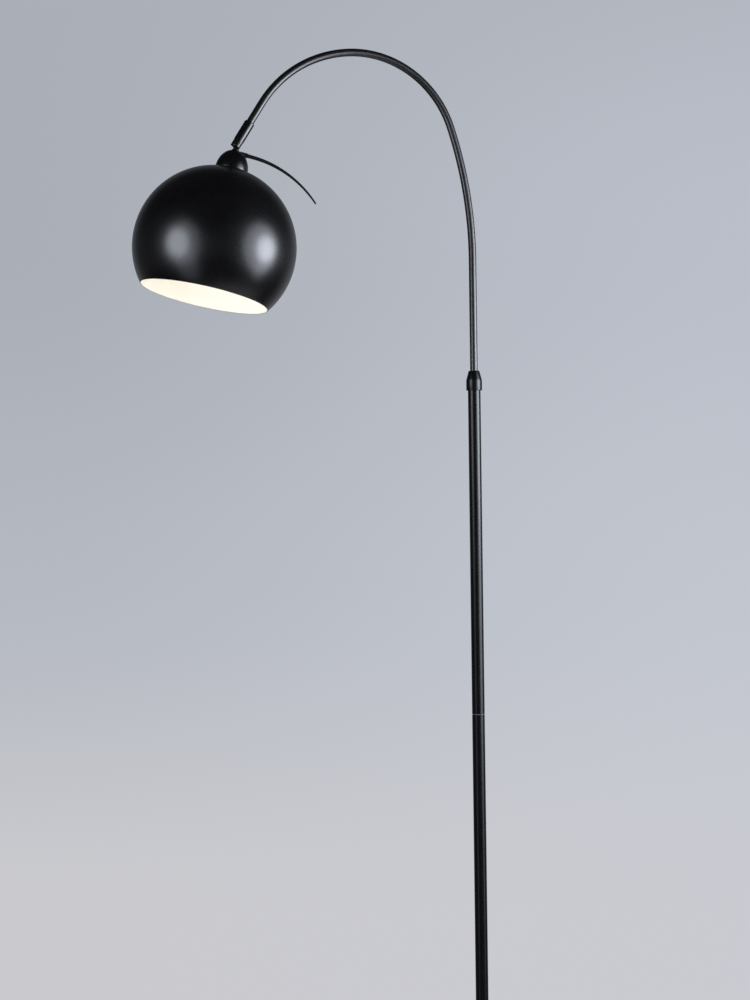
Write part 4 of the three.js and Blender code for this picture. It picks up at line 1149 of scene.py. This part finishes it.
class FLOORLAMP_OT_stage(bpy.types.Operator):
    """Sets the pale studio, its six soft lamps and the camera"""

    bl_idname = "floor_lamp.stage"
    bl_label = "Stage"

    def execute(self, context):
        self.floor()
        self.studio(context.scene)
        globe = globe_centre(context.scene.lamp_head)
        pole = Vector((0, 0, 0.95))
        for name, target, toward, distance, size, glow in (
            ("soft_box_right", globe, (0.863, -0.505, -0.06), 1.5, (0.78, 0.74), 11.4),
            ("fill_right", globe, (0.80, -0.60, -0.06), 1.7, (1.75, 1.75), 3.4),
            ("soft_box_left", globe, (-0.885, -0.465, 0.02), 0.9, (0.5, 0.54), 5.6),
            ("fill_left", globe, (-0.84, -0.54, 0.0), 1.0, (0.94, 1.0), 1.4),
            ("low_fill_right", pole, (0.80, -0.60, 0), 1.6, (0.8, 1.4), 1.6),
            ("low_fill_left", pole, (-0.88, -0.475, 0), 1.8, (0.8, 1.5), 0.75),
        ):
            self.soft_lamp(name, target, Vector(toward), distance, size, glow)
        self.camera(context.scene)
        context.scene.view_settings.view_transform = "Standard"
        return {"FINISHED"}

    def floor(self):
        """A pale floor that fades into the backdrop. Its colour is painted darker where the lamps'
        light pools and lighter outwards, as painted shade and light that make up for the lamps'
        falloff.
        """
        radius, rim, light_pool = 2.05, 0.7, (0.1, -0.4, 0)
        start_disc(radius, BROAD)
        bpy.ops.mesh.inset(thickness=rim)
        floor = close_editing()
        floor.name = "studio_floor"
        recipe, place = material("studio_floor")
        cloud = recipe.noise(place, 2.2, 2)
        near = recipe.blend(cloud, (0.555, 0.540, 0.534), (0.585, 0.569, 0.562))
        # painted light: the floor's colour lightens away from where the lamps' light pools
        painted_fill = recipe.step(recipe.measure("DISTANCE", place, light_pool), 0.1, 1.4)
        shade = recipe.blend(painted_fill, near, (0.700, 0.682, 0.674))
        finish = {"Base Color": shade, "Roughness": 0.85, "Specular IOR Level": 0.2}
        paper = recipe.node("BsdfPrincipled", {}, finish)
        clear = recipe.node("BsdfTransparent")
        faded = recipe.step(recipe.measure("LENGTH", place), 0.6, 1.75)
        seen = recipe.node("MixShader", {}, {0: faded, 1: paper, 2: clear})
        recipe.node("OutputMaterial", {}, {"Surface": seen})
        floor.data.materials.append(recipe.owner)

    def studio(self, scene):
        """A pale backdrop all round for the camera, and plain soft light from the world."""
        scene.world = bpy.data.worlds.new("studio")
        recipe = Recipe(scene.world)
        toward = recipe.node("TexCoord", output="Generated")
        rise = recipe.coordinate(toward, "Z")
        backdrop = self.backdrop(recipe, toward, rise)
        shown, glossy, through = (
            recipe.node("LightPath", output=name)
            for name in ("Is Camera Ray", "Is Glossy Ray", "Is Transmission Ray")
        )
        behind = (math.sin(CAMERA_YAW), math.cos(CAMERA_YAW), 0)
        away = recipe.measure("DOT_PRODUCT", toward, behind)
        level = recipe.step(rise, -0.45, -0.1) * (1 - recipe.step(rise, 0.1, 0.45))
        room = 0.03 + level * 0.12 + recipe.step(away, 0.55, 0.98) * 0.4
        mirrored = recipe.blend(room, (0, 0, 0), backdrop)
        ambient = recipe.blend(recipe.step(rise, -0.5, 0.9), (0.34, 0.34, 0.35), (0.58, 0.59, 0.62))
        lit = recipe.blend(glossy, ambient, mirrored)
        full = recipe.node("Math", {"operation": "MAXIMUM"}, {0: shown, 1: through})
        light = recipe.node("Background", {}, {"Color": recipe.blend(full, lit, backdrop)})
        recipe.node("OutputWorld", {}, {"Surface": light})

    def backdrop(self, recipe, toward, rise):
        """The wall's greys from left to right, in four bands from the crown down to the floor."""
        right = (math.cos(CAMERA_YAW), -math.sin(CAMERA_YAW), 0)
        side = recipe.step(recipe.measure("DOT_PRODUCT", toward, right), -0.2, 0.2)
        crown = recipe.blend(side, (0.405, 0.430, 0.475), (0.440, 0.465, 0.520))
        upper = recipe.blend(side, (0.405, 0.430, 0.475), (0.490, 0.520, 0.585))
        middle = recipe.blend(side, (0.462, 0.485, 0.539), (0.539, 0.565, 0.624))
        lower = recipe.blend(side, (0.590, 0.590, 0.620), (0.590, 0.595, 0.640))
        upper = recipe.blend(recipe.step(rise, 0.14, 0.30), upper, crown)
        wall = recipe.blend(recipe.step(rise, 0.14, -0.05), upper, middle)
        return recipe.blend(recipe.step(rise, -0.025, -0.205), wall, lower)

    def soft_lamp(self, name, target, toward, distance, size, glow):
        """An oval lamp at a distance from its target. Its glow is its brightness, 1 being white."""
        bpy.ops.object.light_add(type="AREA", location=target + toward.normalized() * distance)
        lamp = bpy.context.object
        lamp.name = name
        lamp.rotation_euler = (-toward).to_track_quat("-Z", "Y").to_euler()
        lamp.data.shape = "ELLIPSE"
        lamp.data.size, lamp.data.size_y = size
        lamp.data.energy = glow * math.pi * (math.pi * size[0] * size[1] / 4)
        lamp.data.color = (0.84, 0.89, 1.0)
        lamp.visible_camera = False

    def camera(self, scene):
        bpy.ops.object.camera_add(location=CAMERA_PLACE)
        camera = bpy.context.object
        camera.name = "camera"
        aim = Matrix.Rotation(-CAMERA_YAW, 3, "Z") @ Matrix.Rotation(CAMERA_TILT, 3, "X")
        camera.rotation_euler = (aim @ Matrix.Rotation(CAMERA_ROLL, 3, "Z")).to_euler()
        camera.data.lens = CAMERA_LENS
        camera.data.sensor_width = CAMERA_SENSOR
        camera.data.clip_start = 0.05
        camera.data.clip_end = 60
        scene.camera = camera


class FLOORLAMP_PT_panel(bpy.types.Panel):
    """Lists the lamp's sizes and the steps that build it"""

    bl_idname = "FLOORLAMP_PT_panel"
    bl_label = "Floor Lamp"
    bl_space_type = "VIEW_3D"
    bl_region_type = "UI"
    bl_category = "Floor Lamp"

    def draw(self, context):
        for operator in OPERATORS:
            self.layout.operator(operator.bl_idname)
        for attribute, group in SIZES.items():
            box = self.layout.box()
            box.label(text=group.__doc__)
            for name in group.__annotations__:
                box.prop(getattr(context.scene, attribute), name)


SIZES = {
    "lamp_base": BaseSizes,
    "lamp_pole": PoleSizes,
    "lamp_arm": ArmSizes,
    "lamp_head": HeadSizes,
    "lamp_colours": FinishColours,
}
OPERATORS = (
    FLOORLAMP_OT_stage,
    FLOORLAMP_OT_base,
    FLOORLAMP_OT_pole,
    FLOORLAMP_OT_arm,
    FLOORLAMP_OT_knuckle,
    FLOORLAMP_OT_cap,
    FLOORLAMP_OT_shade,
    FLOORLAMP_OT_holder,
    FLOORLAMP_OT_bulb,
    FLOORLAMP_OT_frame_finishes,
)
CLASSES = (*SIZES.values(), *OPERATORS, FLOORLAMP_PT_panel)


def register():
    for item in CLASSES:
        bpy.utils.register_class(item)
    for attribute, group in SIZES.items():
        setattr(bpy.types.Scene, attribute, PointerProperty(type=group))


def unregister():
    for attribute in SIZES:
        delattr(bpy.types.Scene, attribute)
    for item in reversed(CLASSES):
        bpy.utils.unregister_class(item)


def main():
    """Registers the add-on and runs its steps in order."""
    register()
    for operator in OPERATORS:
        group, step = operator.bl_idname.split(".")
        getattr(getattr(bpy.ops, group), step)()


if __name__ == "__main__":
    main()
